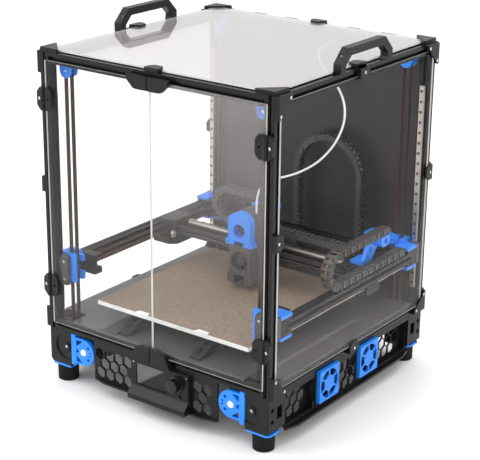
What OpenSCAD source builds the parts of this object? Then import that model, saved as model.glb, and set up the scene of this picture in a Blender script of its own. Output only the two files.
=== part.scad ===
// Enclosed box-frame printer with a flying gantry on four lift belts.
// Millimetres, +Z up. The origin is the middle of the footprint, on the floor.

/* [Frame] */
// Width of the extrusion frame over its outer faces
frame_w = 510; // [400:10:600]
// Depth of the extrusion frame over its outer faces
frame_d = 510; // [400:10:600]
// Height of the four posts
frame_h = 530; // [430:10:630]
// Side of the square extrusion
bar = 20; // [20:1:20]
// Height of the underside of the frame above the floor
leg_h = 106; // [90:1:130]

/* [Panels and doors] */
// Thickness of the clear panels and doors
sheet_t = 3; // [2:0.5:4]
// Thickness of the foam seal behind the panels
seal_t = 1; // [0.5:0.5:3]
// How far the panels stay inside the frame's outer edges
panel_inset = 13; // [10:1:18]

/* [Handles] */
// Where the middle of the right carrying handle is clamped along the top
right_handle_y = 12; // [-100:1:100]
// Where the middle of the left carrying handle is clamped along the top
left_handle_y = 30; // [-100:1:100]

/* [Bed] */
// Side of the square bed plate
bed_w = 350; // [250:10:350]
// Thickness of the bed plate
bed_t = 8; // [6:1:10]
// Where the front edge of the bed plate lies
bed_front_y = -208; // [-215:1:-150]

/* [Gantry] */
// Height of the underside of the side beams above the frame's underside
gantry_z = 110; // [108:1:120]
// Where the middle of the cross beam rests along the side beams
cross_y = 80; // [-100:1:150]
// Where the toolhead rests along the cross beam
head_x = 3; // [-150:1:150]

/* [Skirts] */
// Radius of a honeycomb hole over its corners
hex_r = 11.6; // [7:0.1:12]
// Wall left between honeycomb holes
hex_wall = 2; // [1.6:0.1:4]
// Radius of the round opening in a fan grille
grille_r = 27; // [24:0.5:28]
// Radius of the six-sided middle of a fan grille over its corners
grille_hub_r = 17; // [10:0.5:20]
// Width of a grille's spokes
grille_spoke = 3.4; // [2:0.1:6]

/* [Display] */
// Middle of the display unit across the front
display_x = 20; // [-40:1:40]

/* [Hidden] */
$fn = 48;
post_c = frame_w / 2 - bar / 2;
face = frame_w / 2;
panel_half = face - panel_inset;
panel_lo = panel_inset;
panel_hi = frame_h - panel_inset;
panel_in = face + seal_t;
panel_out = panel_in + sheet_t;
butt_gap = 0.1;
rail_len = frame_w - 2 * bar - butt_gap;
deck_z = bar;
deck_t = 3;
deck_top = deck_z + deck_t;
bed_rail_x = 83;
bed_z = 50;
sheet_z = bed_z + bed_t;
beam_top = gantry_z + bar;
belt_axis_x = 216;
belt_mid_y = 224;
belt_low_z = -33;
belt_high_z = 495;
pitch_r = 6.4;
big_r = 25;
small_r = 6.2;
belt_t = 1.4;
belt_w = 9;
motor_x = 172;
motor_z = -33;
motor_side = 42;
skirt_z = -77;
fan_z = -32;
fan_ys = [-79, 54];
comb_z0 = -60;
comb_z1 = -17;
well_front = -114;
well_rear = 90;
chain_t = 14;
chain_w = 20;
chain_r = 30;
hinge_x = 244;
hinge_y = -264;
hinge_zs = [90, 446];
knob_x = display_x + 40;
knob_z = -24;
// The knob reaches further forward than the skirt's lip reaches back
front_reach = 282;
back_reach = 264;
shift_y = (front_reach - back_reach) / 2;

// ---- helpers -------------------------------------------------------------

// The parts are drawn about the frame's middle, from its underside. This lifts them
// onto the feet and centres the footprint.
module lift() {
  translate([0, shift_y, leg_h]) children();
}

// A box given by its lowest and highest corners
module span(a, b) {
  translate(a) cube(b - a);
}

// The children once in each of the four corners of the frame
module at_corners() {
  for (sx = [-1, 1], sy = [-1, 1]) scale_sign(sx, sy) children();
}

// Mirrors the children into the quadrant with the signs sx and sy
module scale_sign(sx, sy) {
  mirror([sx < 0 ? 1 : 0, 0, 0]) mirror([0, sy < 0 ? 1 : 0, 0]) children();
}

// A flat outline in X and Z, thickened along Y from y0 to y1
module plate_xz(y0, y1) {
  translate([0, y1, 0]) rotate([90, 0, 0]) linear_extrude(y1 - y0) children();
}

// A flat outline in Y and Z, thickened along X from x0 to x1
module plate_yz(x0, x1) {
  translate([x0, 0, 0]) rotate([90, 0, 90]) linear_extrude(x1 - x0) children();
}

// Cylinder along Y with its middle line at x, z
module rod_y(x, z, y0, y1, r) {
  translate([x, y0, z]) rotate([-90, 0, 0]) cylinder(r = r, h = y1 - y0);
}

// Cylinder along X with its middle line at y, z
module rod_x(y, z, x0, x1, r) {
  translate([x0, y, z]) rotate([0, 90, 0]) cylinder(r = r, h = x1 - x0);
}

// Cylinder along Z
module rod_z(x, y, z0, z1, r) {
  translate([x, y, z0]) cylinder(r = r, h = z1 - z0);
}

// Cross-section of the T-slot extrusion
module bar_profile() {
  difference() {
    square(bar, center = true);
    for (a = [0:90:270]) rotate(a) translate([bar / 2, 0])
      polygon([[1, -3.1], [1, 3.1], [-1.8, 3.1], [-1.8, 5.4], [-3.4, 5.4],
        [-5.8, 3], [-5.8, -3], [-3.4, -5.4], [-1.8, -5.4], [-1.8, -3.1]]);
    circle(d = 4.2);
  }
}

module bar_x(len) {
  translate([-len / 2, 0, 0]) rotate([0, 90, 0]) linear_extrude(len) bar_profile();
}

module bar_y(len) {
  translate([0, len / 2, 0]) rotate([90, 0, 0]) linear_extrude(len) bar_profile();
}

// Cross-section of a 9 mm guide rail standing on y = 0
module rail_profile() {
  polygon([[-4.5, 0], [4.5, 0], [4.5, 2.2], [3.6, 3.2], [3.6, 4.2], [4.5, 5.2],
    [4.5, 6.5], [-4.5, 6.5], [-4.5, 5.2], [-3.6, 4.2], [-3.6, 3.2], [-4.5, 2.2]]);
}

// A drag chain: a straight run, a half turn and a run back, as a flat band.
// The turn lies at the origin; run_a is the lower run and run_b the upper one.
module chain_band(run_a, run_b) {
  difference() {
    union() {
      circle(r = chain_r + chain_t / 2);
      translate([0, -chain_r - chain_t / 2]) square([run_a, chain_t]);
      translate([0, chain_r - chain_t / 2]) square([run_b, chain_t]);
    }
    circle(r = chain_r - chain_t / 2);
    translate([0, -chain_r + chain_t / 2])
      square([max(run_a, run_b) + 1, 2 * chain_r - chain_t]);
  }
}

// ---- frame and panels ------------------------------------------------------

module frame_bars() color("#1d1d20") lift() {
  for (x = [-post_c, post_c], y = [-post_c, post_c])
    translate([x, y, 0]) linear_extrude(frame_h) bar_profile();
  for (z = [bar / 2, frame_h - bar / 2], s = [-post_c, post_c]) {
    translate([0, s, z]) bar_x(rail_len);
    translate([s, 0, z]) bar_y(rail_len);
  }
}

module deck_panel() color("#3a3a3d") lift() {
  edge = face - 1;
  cut_x = 200;
  cut_y = 213;
  translate([0, 0, deck_z]) linear_extrude(deck_t) polygon([
    [-edge, -cut_y], [-cut_x, -cut_y], [-cut_x, -edge], [cut_x, -edge],
    [cut_x, -cut_y], [edge, -cut_y], [edge, cut_y], [cut_x, cut_y],
    [cut_x, edge], [-cut_x, edge], [-cut_x, cut_y], [-edge, cut_y]]);
}

module back_panel() color("#4a484b") lift() difference() {
  span([-panel_half, panel_in, panel_lo], [panel_half, panel_out, panel_hi]);
  rod_y(36, 500, face, panel_out + 1, 2.6);
}

module clear_panels() color("#e8eef0", 0.3) lift() {
  for (s = [0, 1]) mirror([s, 0, 0])
    span([panel_in, -panel_half, panel_lo], [panel_out, panel_half, panel_hi]);
  span([-panel_half, -panel_half, frame_h + seal_t],
    [panel_half, panel_half, frame_h + seal_t + sheet_t]);
}

// The outer face of a side: X along the side, Y up, Z outwards from the frame
module on_right() {
  translate([face, 0, 0]) rotate([90, 0, 90]) children();
}

module on_left() {
  mirror([1, 0, 0]) on_right() children();
}

// Places the children along the top edge of the back, beside its middle
module back_edge_tabs() {
  for (x = [-148, -72, 72, 148]) translate([x, frame_h, 0]) children();
}

module on_back() {
  mirror([0, 1, 0]) translate([0, -face, 0]) rotate([90, 0, 0]) children();
}

module on_top() {
  translate([0, 0, frame_h]) children();
}

// A three-cornered clip that holds a panel's corner; the frame's corner is the origin
module corner_clip() {
  leg = 40;
  lip = seal_t + sheet_t + 0.1;
  difference() {
    linear_extrude(8) polygon([[0, 0], [-leg, 0], [-leg, -4], [-4, -leg], [0, -leg]]);
    translate([-leg - 1, -leg - 1, -1])
      cube([leg + 1.2 - panel_inset, leg + 1.2 - panel_inset, lip + 1]);
  }
}

// A tab that holds the middle of a panel's edge; the frame's edge is Y = 0
module edge_clip() {
  lip = seal_t + sheet_t + 0.1;
  difference() {
    linear_extrude(8) polygon([[-15, 0], [15, 0], [15, -12], [9, -22], [-9, -22],
      [-15, -12]]);
    translate([-16, -30, -1]) cube([32, 30.2 - panel_inset, lip + 1]);
  }
}

// Places the children at the four corners of an upright side
module side_corners() {
  for (s = [0, 1]) mirror([s, 0, 0]) {
    translate([face, frame_h, 0]) children();
    translate([face, 0, 0]) mirror([0, 1, 0]) children();
  }
}

// Places the children at the middles of the four edges of an upright side
module side_middles() {
  mid_z = 282;
  translate([0, frame_h, 0]) children();
  mirror([0, 1, 0]) children();
  translate([face, mid_z, 0]) rotate(-90) children();
  translate([-face, mid_z, 0]) rotate(90) children();
}

// Places the children at the four corners of the top
module top_corners() {
  for (a = [0:90:270]) rotate(a) translate([face, face, 0]) children();
}

// Places the children at the middles of the four edges of the top
module top_middles() {
  for (a = [0:90:270]) rotate(a) translate([0, face, 0]) children();
}

module panel_clips() color("#18181a") lift() {
  on_right() {
    side_corners() corner_clip();
    side_middles() edge_clip();
  }
  on_left() {
    side_corners() corner_clip();
    side_middles() edge_clip();
  }
  on_back() {
    side_corners() corner_clip();
    side_middles() edge_clip();
    back_edge_tabs() edge_clip();
  }
  on_top() {
    top_corners() corner_clip();
    top_middles() edge_clip();
  }
}

// A round screw head standing on z = 0
module screw_head() {
  cylinder(d = 5.6, h = 1.6, $fn = 24);
}

module corner_screws() {
  translate([-6.5, -33, 8]) screw_head();
  translate([-33, -6.5, 8]) screw_head();
}

module edge_screw() {
  translate([0, -8, 8]) screw_head();
}

module fasteners() color("#d8d8d6") lift() {
  on_right() {
    side_corners() corner_screws();
    side_middles() edge_screw();
  }
  on_left() {
    side_corners() corner_screws();
    side_middles() edge_screw();
  }
  // door hinges
  for (sx = [0, 1], z = hinge_zs) mirror([sx, 0, 0])
    translate([hinge_x + 8, hinge_y, z]) rotate([90, 0, 0]) screw_head();
  // hub bolts of the lift drives
  at_corners() translate([belt_axis_x, face - 3, belt_low_z])
    rotate([-90, 0, 0]) cylinder(d = 7, h = 3.4, $fn = 24);
  // thumb nuts under the bed
  for (x = [-bed_rail_x, bed_rail_x], y = [bed_front_y + 13, bed_front_y + bed_w - 13])
    rod_z(x, y, deck_top + bar, bed_z, 6);
}

module handle() {
  difference() {
    plate_yz(panel_half + 0.6, face + 3) difference() {
      polygon([[-83, 0], [-83, 17], [-58, 42], [58, 42], [83, 17], [83, 0]]);
      polygon([[-64, 0], [-67, 5], [-67, 12], [-51, 28], [51, 28], [67, 12],
        [67, 5], [64, 0]]);
    }
    for (s = [-1, 1]) translate([0, s * 70.5, 29.5]) rotate([-45 * s, 0, 0])
      rod_z(face - 6, 0, -4, 10, 3.4);
  }
}

module handles() color("#151517") lift() {
  translate([0, right_handle_y, frame_h]) handle();
  mirror([1, 0, 0]) translate([0, left_handle_y, frame_h]) handle();
}

// ---- lift drives -----------------------------------------------------------

module z_drive_housing() {
  top = -0.2;
  difference() {
    plate_xz(207, face) polygon([[203, -70], [250, -70], [face, -64], [face, top],
      [203, top]]);
    rod_y(belt_axis_x, belt_low_z, 215, 233, 24);
    span([202, 215, belt_low_z], [230, 233, 1]);
    rod_y(belt_axis_x, belt_low_z, 235.5, 245.5, big_r + 3);
    difference() {
      rod_y(belt_axis_x, belt_low_z, face - 3, face + 1, 25);
      rod_y(belt_axis_x, belt_low_z, face - 4, face + 1, 9);
    }
    rod_y(belt_axis_x, belt_low_z, 206, face + 1, 2.7);
    rod_y(belt_axis_x, belt_low_z, face - 3, face + 1, 3.8);
    span([228, 217, -45], [face + 1, 231, -22]);
    plate_yz(245, face + 1) for (z = [-24, -46])
      translate([245, z]) circle(r = 5, $fn = 4);
  }
}

module z_drive_housings() color("#17171a") lift() at_corners() z_drive_housing();

module z_base_plates() color("#1f74ee") lift() at_corners() difference() {
  translate([0, 0, -74]) linear_extrude(4) polygon([[206, 222], [211, 217],
    [248, 217], [254, 223], [254, 249], [248, 255], [206, 255]]);
  rod_z(230, 235, -75, -69, 3);
}

module feet() color("#141416") lift() at_corners() translate([230, 235, -leg_h])
  rotate_extrude() polygon([[0, 4], [7, 4], [7, 0], [18, 0], [19, 1.5], [20, 32],
    [0, 32]]);

// The D-shaped plate that holds a lift motor and tightens its belt
module z_tensioner() {
  plate_xz(247, face) difference() {
    union() {
      translate([motor_x, motor_z]) circle(r = 26);
      translate([motor_x, motor_z - 26]) square([30, 52]);
      translate([192, motor_z - 31]) square([10, 62]);
    }
    polygon([[174, motor_z + 22], [190, motor_z + 22], [190, motor_z + 9]]);
    polygon([[174, motor_z - 22], [190, motor_z - 22], [190, motor_z - 9]]);
    polygon([[190, motor_z - 6], [190, motor_z + 6], [183, motor_z]]);
    translate([motor_x, motor_z]) circle(r = 7);
    for (a = [135, 225]) translate([motor_x, motor_z]) rotate(a)
      translate([17, 0]) circle(r = 3.4, $fn = 6);
    for (a = [170, 190]) translate([motor_x, motor_z]) rotate(a)
      translate([18, 0]) circle(r = 2);
  }
  // stand-offs between the plate and the motor's face
  for (a = [115, 245])
    rod_y(motor_x + 20 * cos(a), motor_z + 20 * sin(a), 232, 247.5, 3);
}

module z_tensioners() color("#1f74ee") lift() at_corners() z_tensioner();

// A square stepper motor, its face up at z = 0 and its shaft along +Z
module stepper(body) {
  half = motor_side / 2;
  cut = 4;
  translate([0, 0, -body]) linear_extrude(body) polygon([[-half, cut - half],
    [cut - half, -half], [half - cut, -half], [half, cut - half], [half, half - cut],
    [half - cut, half], [cut - half, half], [-half, half - cut]]);
}

module z_motors() color("#26262a") lift() at_corners()
  translate([motor_x, 232, motor_z]) rotate([-90, 0, 0]) stepper(40);

module z_idler_bracket() {
  for (y = [214, 229.5]) plate_xz(y, y + 4.5) difference() {
    union() {
      translate([belt_axis_x, belt_high_z]) circle(r = 13);
      translate([belt_axis_x - 13, belt_high_z]) square([26, 15]);
    }
    translate([belt_axis_x, belt_high_z]) circle(r = 2.5);
  }
  span([belt_axis_x - 13, 214, 505], [belt_axis_x + 13, 234.9, 510]);
  span([belt_axis_x - 13, 231, 509], [belt_axis_x + 13, 234.9, 526]);
}

module z_idler_brackets() color("#2f7df2") lift() at_corners() z_idler_bracket();

// A toothed pulley between two flanges, along Y
module flanged_pulley(z, flange_r) {
  rod_y(belt_axis_x, z, 219, 229, pitch_r);
  for (y = [217.5, 228.9]) rod_y(belt_axis_x, z, y, y + 1.5, flange_r);
}

module z_pulleys() color("#e6e6e2") lift() at_corners() {
  union() {
    flanged_pulley(belt_low_z, 20);
    rod_y(belt_axis_x, belt_low_z, 207.5, face - 3, 2.5);
    rod_y(belt_axis_x, belt_low_z, 236.5, 244.5, big_r);
  }
  union() {
    rod_y(belt_axis_x, belt_high_z, 219, 229, pitch_r);
    rod_y(belt_axis_x, belt_high_z, 214, 234, 2.5);
  }
  union() {
    rod_y(motor_x, motor_z, 232, face + 1, 4.5);
    rod_y(motor_x, motor_z, 236.5, 244.5, small_r);
  }
}

// Points along an arc about the origin
function arc(r, from, to) = let (steps = ceil(r) + 6)
  [for (i = [0:steps]) let (t = from + i * (to - from) / steps) r * [cos(t), sin(t)]];

// A taut loop round two wheels, the first at the origin with radius ra and the second
// at [gap, 0] with radius rb
module loop_outline(ra, rb, gap) {
  a = acos((ra - rb) / gap);
  polygon(concat(arc(ra, a, 360 - a), [for (p = arc(rb, -a, a)) p + [gap, 0]]));
}

// A belt of that shape, just clear of its wheels
module belt_band(ra, rb, gap) {
  clear = 0.1;
  difference() {
    loop_outline(ra + clear + belt_t, rb + clear + belt_t, gap);
    loop_outline(ra + clear, rb + clear, gap);
  }
}

// At each corner, the long lift belt and the short belt from the motor to the drive shaft
module z_belts() color("#6b4a48") lift() at_corners() {
  plate_xz(belt_mid_y - belt_w / 2, belt_mid_y + belt_w / 2)
    translate([belt_axis_x, belt_low_z]) rotate(90)
      belt_band(pitch_r, pitch_r, belt_high_z - belt_low_z);
  plate_xz(237.5, 243.5) translate([belt_axis_x, motor_z]) mirror([1, 0])
    belt_band(big_r, small_r, belt_axis_x - motor_x);
}

module z_rails() color("#cfc8c2") lift() at_corners() translate([post_c, post_c - bar / 2, 50])
  linear_extrude(400) rotate(180) rail_profile();

// ---- skirts and bay --------------------------------------------------------

// Honeycomb holes with their middles over a field from one corner to another
module comb(x0, z0, x1, z1) {
  dx = sqrt(3) * hex_r + hex_wall;
  dz = dx * sqrt(3) / 2;
  for (i = [0:ceil((x1 - x0) / dx)], j = [0:ceil((z1 - z0) / dz)]) {
    x = x0 + (i + (j % 2) / 2) * dx;
    z = z0 + j * dz;
    if (x <= x1 && z <= z1) translate([x, z]) rotate(30) circle(r = hex_r, $fn = 6);
  }
}

// The lower lip of a skirt that swells outwards between its ends
module skirt_lip(half) {
  translate([0, 0, skirt_z]) linear_extrude(4)
    polygon([[-half, -251], [-half, -256], [-half + 30, -264], [half - 30, -264],
      [half, -256], [half, -251]]);
}

module front_skirt() {
  plate_xz(-255, -251) difference() {
    translate([-144, skirt_z]) square([288, 76.8]);
    comb(-130, comb_z0, display_x - 78, comb_z1);
    comb(display_x + 78, comb_z0, 130, comb_z1);
    translate([display_x - 64, -66]) square([128, 62]);
  }
  difference() {
    skirt_lip(144);
    span([display_x - 68, -270, skirt_z - 1], [display_x + 68, -255, skirt_z + 5]);
  }
}

// The middle panel, the strip above it and the lip below it are one piece
module side_skirt(fans) {
  plate_yz(251, 255) difference() {
    union() {
      translate([-206, -9]) square([412, 8.8]);
      translate([well_front, skirt_z]) square([well_rear - well_front, 76.8]);
    }
    if (fans) {
      for (y = fan_ys) translate([y - 31, fan_z - 31]) square(62);
      comb(-35, comb_z0, 10, comb_z1);
    }
    if (!fans) comb(-97, comb_z0, 74, comb_z1);
  }
  rotate(90) skirt_lip(206);
}

// A grille set back from the side, between a corner housing and the middle panel
module side_well(y0, y1) {
  plate_yz(236, 239) difference() {
    translate([y0, -72.9]) square([y1 - y0, 72.7]);
    comb(y0 + 15, comb_z0, y1 - 14, comb_z1);
  }
  span([236, y0, -72.9], [250.9, y1, -70]);
  for (y = [y0, y1 - 3]) span([236, y, -72.9], [250.9, y + 3, -9.1]);
}

module rear_skirt() {
  plate_xz(251, 255) difference() {
    translate([-144, skirt_z]) square([288, 76.8]);
    comb(-10, comb_z0, 130, comb_z1);
    translate([-118, -50]) square([70, 28]);
  }
  rotate(180) skirt_lip(144);
}

module skirts() color("#1a1a1d") lift() {
  front_skirt();
  side_skirt(true);
  mirror([1, 0, 0]) side_skirt(false);
  for (s = [0, 1]) mirror([s, 0, 0]) {
    side_well(-205.9, well_front - 0.1);
    side_well(well_rear + 0.1, 205.9);
  }
  rear_skirt();
}

module fan_grille(y) {
  difference() {
    translate([0, y, fan_z]) plate_yz(251.2, 262) square(61.6, center = true);
    translate([0, y, fan_z]) plate_yz(251, 259) square(57, center = true);
    translate([0, y, fan_z]) plate_yz(258, 263) difference() {
      circle(r = grille_r);
      rotate(30) circle(r = grille_hub_r, $fn = 6);
      for (a = [30:60:150]) rotate(a) square([60, grille_spoke], center = true);
    }
  }
}

module fan_grilles() color("#2277f0") lift() for (y = fan_ys) fan_grille(y);

module bay_fans() color("#202023") lift() for (y = fan_ys) translate([0, y, fan_z]) {
  plate_yz(231, 250.9) difference() {
    square(60, center = true);
    circle(r = 28.5);
    for (u = [-25, 25], v = [-25, 25]) translate([u, v]) circle(r = 2.2, $fn = 16);
  }
  // the arms and the bearing seat that carry the wheel
  plate_yz(231, 233) difference() {
    union() {
      circle(r = 12);
      for (a = [30, 150, 270]) rotate(a) translate([0, -2]) square([29, 4]);
    }
    circle(r = 2.4);
  }
}

// A fan wheel along X with its middle at the origin
module fan_wheel(hub_r, blade_r, depth) {
  rod_x(0, 0, -depth / 2, depth / 2, hub_r);
  for (i = [0:6]) rotate([i * 360 / 7, 0, 0]) translate([0, 0, hub_r - 1])
    rotate([0, 0, 35]) translate([-depth * 0.55, -0.7, 0])
      cube([depth * 1.1, 1.4, blade_r - hub_r + 0.4]);
}

module bay_rotor(y) {
  translate([241, y, fan_z]) fan_wheel(12, 26, 14);
  rod_x(y, fan_z, 231.2, 242, 2);
}

module bay_rotor_front() color("#2a2a2d") lift() bay_rotor(fan_ys[0]);
module bay_rotor_rear() color("#2a2a2d") lift() bay_rotor(fan_ys[1]);

module electronics_modules() color("#8d9092") lift() {
  for (y = [-70, 95]) span([-235, y - 17.5, 8], [235, y + 17.5, 9.5]);
  span([-160, 45, -34], [55, 160, 7.9]);
  span([-150, -120, -22], [10, -20, 7.9]);
  span([40, -115, -20], [140, -30, 7.9]);
  span([90, 60, -20], [140, 150, 7.9]);
}

module power_inlet() color("#141416") lift() difference() {
  union() {
    span([-124, 255, -53], [-42, 258, -19]);
    span([-117, 222, -49.5], [-80, 255, -22.5]);
    span([-79, 240, -49.5], [-48.5, 255, -22.5]);
  }
  plate_xz(238, 259) polygon([[-112, -47], [-86, -47], [-86, -32], [-91, -27],
    [-107, -27], [-112, -32]]);
  span([-74, 239, -46], [-54, 259, -26]);
}

// The rocker and the pin it tilts on
module power_switch() color("#b03028") lift() translate([-64, 254, -36]) {
  plate_yz(-9.6, 9.6)
    polygon([[-8, -6], [-8, 6], [2, 9.2], [5.4, 9], [4, 0], [7.4, -8.6], [3, -9.2]]);
  rod_x(0, 0, -9.9, 9.9, 1.6);
}

// ---- bed -------------------------------------------------------------------

module bed_rails() color("#232327") lift() for (x = [-bed_rail_x, bed_rail_x])
  translate([x, 15, deck_top + bar / 2]) bar_y(440);

module bed_bracket(x) {
  difference() {
    plate_yz(x - 13, x + 13) polygon([[-243, deck_top], [-205, deck_top],
      [-205, 42], [-211, 42], [-238, 27], [-243, 27]]);
    rod_z(x, -229, deck_top - 1, 60, 3);
    rod_z(x, -221, deck_top - 1, 60, 3);
    span([x - 3, -229, deck_top - 1], [x + 3, -221, 60]);
    rod_z(x, -209, 34, 60, 4.5);
  }
}

module bed_brackets() color("#2b2b2f") lift()
  for (x = [-bed_rail_x, bed_rail_x]) bed_bracket(x);

module bed_plate() color("#e2e0dc") lift() translate([0, bed_front_y + bed_w / 2, bed_z])
  linear_extrude(bed_t) difference() {
    square(bed_w, center = true);
    for (x = [-bed_rail_x, bed_rail_x], y = [13 - bed_w / 2, bed_w / 2 - 13])
      translate([x, y]) circle(r = 2.2);
  }

module build_sheet() color("#a39283") lift() translate([0, bed_front_y, sheet_z])
  linear_extrude(1) difference() {
    translate([-bed_w / 2 + 0.5, 0.5]) square(bed_w - 1);
    for (x = [-bed_rail_x - 2, bed_rail_x - 30])
      translate([x, 0]) polygon([[0, 0], [4, 11], [28, 11], [32, 0]]);
  }

// ---- display ---------------------------------------------------------------

module display_case() color("#1b1b1e") lift() difference() {
  plate_yz(display_x - 66, display_x + 66) polygon([[-255.1, -3], [-264, -3],
    [-265, -54], [-276, -68], [-276, skirt_z], [-255.1, skirt_z]]);
  span([display_x - 54, -266, -50], [display_x + 16, -261, -9]);
  // open back, where the board sits
  span([display_x - 63, -260, -62], [display_x + 63, -250, -7]);
  rod_y(knob_x, knob_z, -270, -250, 5);
  rod_y(knob_x + 6, -49, -270, -250, 4.3);
  for (x = [-60, 61], z = [-8, -58]) rod_y(display_x + x, z, -267, -262, 1.6);
}

module display_screen() color("#101216") lift()
  span([display_x - 53.5, -263, -49.5], [display_x + 15.5, -261, -9.5]);

module display_knob() color("#0c0c0e") lift() translate([knob_x, 0, knob_z]) {
  rod_y(0, 0, -282, -267, 12);
  rod_y(0, 0, -268, -265.4, 15);
  rod_y(0, 0, -266, -252, 4.6);
  for (a = [0:30:330]) rotate([0, a, 0]) translate([11.6, -280.5, -1])
    cube([1.2, 12, 2]);
}

module reset_button() color("#101012") lift() {
  rod_y(knob_x + 6, -49, -268, -252, 4);
}

// ---- doors -----------------------------------------------------------------

// Outline of one hinge leaf beside the pin, its outer corners cut off
module leaf_outline(x0, x1, half) {
  polygon([[x0, -half], [x1 - 7, -half], [x1, 9 - half], [x1, half - 9],
    [x1 - 7, half], [x0, half]]);
}

module hinge_mount(z) {
  translate([hinge_x, 0, z]) difference() {
    union() {
      plate_xz(-264, -255) difference() {
        leaf_outline(0, 14, 21);
        translate([-1, -8.6]) square([6, 17.2]);
      }
      for (s = [-21, 8.6]) rod_z(0, hinge_y, s, s + 12.4, 4);
      rod_z(0, hinge_y, -21, 21, 1.5);
    }
    span([-5, -261, -22], [-0.001, -254, 22]);
  }
}

module door_hinge_mounts() color("#1c1c1f") lift()
  for (s = [0, 1], z = hinge_zs) mirror([s, 0, 0]) hinge_mount(z);

// Everything below is drawn for the right door; the left one is its mirror image
module door_panel() {
  span([0.8, -panel_out, panel_lo + 1], [panel_half - 0.5, -panel_in, panel_hi - 1]);
}

module door_leaf(z) {
  translate([hinge_x, 0, z]) difference() {
    union() {
      plate_xz(-264, -panel_out - 0.05) mirror([1, 0, 0])
        difference() {
          leaf_outline(0, 21, 21);
          translate([-1, 8.4]) square([5.6, 20]);
          translate([-1, -28.4]) square([5.6, 20]);
        }
      rod_z(0, hinge_y, -8.4, 8.4, 4);
    }
    rod_z(0, hinge_y, -22, 22, 1.8);
    rod_y(-13, 0, -265, -250, 2.2);
  }
}

module door_catches() {
  plate_xz(-267, -panel_out - 0.05)
    polygon([[1, 524], [46, 524], [43, 513], [30, 501], [24, 500], [1, 500]]);
  plate_xz(-268, -panel_out - 0.05)
    polygon([[1, 28], [20, 28], [34, 22], [46, -1], [1, -1]]);
}

module left_door_panel() color("#e8eef0", 0.3) lift() mirror([1, 0, 0]) door_panel();
module right_door_panel() color("#e8eef0", 0.3) lift() door_panel();

module door_fittings() {
  door_catches();
  for (z = hinge_zs) door_leaf(z);
}

module left_door_fittings() color("#1c1c1f") lift() mirror([1, 0, 0]) door_fittings();
module right_door_fittings() color("#1c1c1f") lift() door_fittings();

// ---- gantry ----------------------------------------------------------------

module gantry_beams() color("#232327") lift() {
  for (x = [-post_c, post_c]) translate([x, 0, gantry_z + bar / 2]) bar_y(410);
  translate([0, 195, gantry_z + bar / 2]) bar_x(rail_len);
}

module gantry_rails() color("#cfc8c2") lift() for (s = [-1, 1])
  translate([s * post_c, 190, gantry_z]) rotate([90, 0, 0]) linear_extrude(380)
    rotate(180) rail_profile();

module z_joint() {
  // the dark core round the end of the side beam, between two plates
  span([226, 193, 130.1], [254.5, 224, 136]);
  span([226, 193, 103], [254.5, 224, 109.9]);
  span([235.2, 205.1, 103], [254.5, 224, 136]);
  for (z = [97, 136]) span([225, 192, z], [255, 224.8, z + 6]);
  for (z = [[94, 109.9], [130.1, 142]]) span([206, 206, z[0]], [234, 214, z[1]]);
  span([225, 205, 94], [234, 236, 150]);
  span([204, 229.6, 94], [234, 236, 150]);
}

module z_joints() color("#2a78ec") lift() at_corners() z_joint();

module z_carriages() color("#3c3c40") lift() at_corners() difference() {
  span([235.2, 225, 103], [254.8, 234.4, 143]);
  span([240.1, 228.1, 102], [249.9, 236, 144]);
}

module gantry_belts() color("#6b4a48") lift() for (s = [0, 1]) mirror([s, 0, 0]) {
  span([228.3, -170.9, 103.9], [229.7, 190, 109.9]);
  span([228.3, -170.9, 119], [229.7, 184.9, 125]);
}

module belt_drives() color("#1d1d20") lift() {
  for (s = [0, 1]) mirror([s, 0, 0]) {
    difference() {
      translate([0, 0, 92]) linear_extrude(50) polygon([[146, 205.1], [203.8, 205.1],
        [203.8, 222], [198, 228], [146, 228]]);
      rod_z(171, 210, 91, 143, 5);
    }
    span([196, -191, 98], [234.8, -171, 109.9]);
    span([196, -191, 130.1], [234.8, -171, 136]);
    span([196, -191, 98], [226, -184, 136]);
  }
  span([106, 205.1, 112], [136, 219.9, 128]);
  mirror([1, 0, 0]) drive_cap();
}

module ab_motors() color("#2b2b2f") lift() for (s = [0, 1]) mirror([s, 0, 0])
  translate([171, 207, 91.9]) stepper(46);

// The cap over a drive's pulleys, drawn for the right one
module drive_cap() {
  difference() {
    translate([0, 0, 142.1]) linear_extrude(14) polygon([[158, 188], [166, 182],
      [194, 182], [214, 191], [222, 204], [222, 212], [204, 218], [158, 218]]);
    translate([0, 0, 141]) linear_extrude(12) polygon([[162, 191], [168, 186],
      [192, 186], [211, 194], [218, 205], [218, 209], [203, 214], [162, 214]]);
    for (x = [172, 192]) rod_z(x, 201, 150, 158, 4);
  }
}

module drive_covers() color("#2a78ec") lift() drive_cap();

// ---- cross beam ------------------------------------------------------------

module cross_beam() color("#232327") lift() translate([0, cross_y, gantry_z + bar / 2])
  bar_x(444);

module cross_rails() color("#cfc8c2") lift() {
  plate_yz(-185, 185) translate([cross_y, beam_top]) rail_profile();
  plate_yz(-185, 185) translate([cross_y, gantry_z]) mirror([0, 1]) rail_profile();
  // idler stacks
  for (x = [-205, 205]) translate([x, cross_y - 25.5, 103]) rotate_extrude()
    polygon([[0, 0], [7.6, 0], [7.6, 2], [6.4, 2.6], [6.4, 11.4], [7.6, 12],
      [7.6, 14], [0, 14]]);
}

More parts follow.
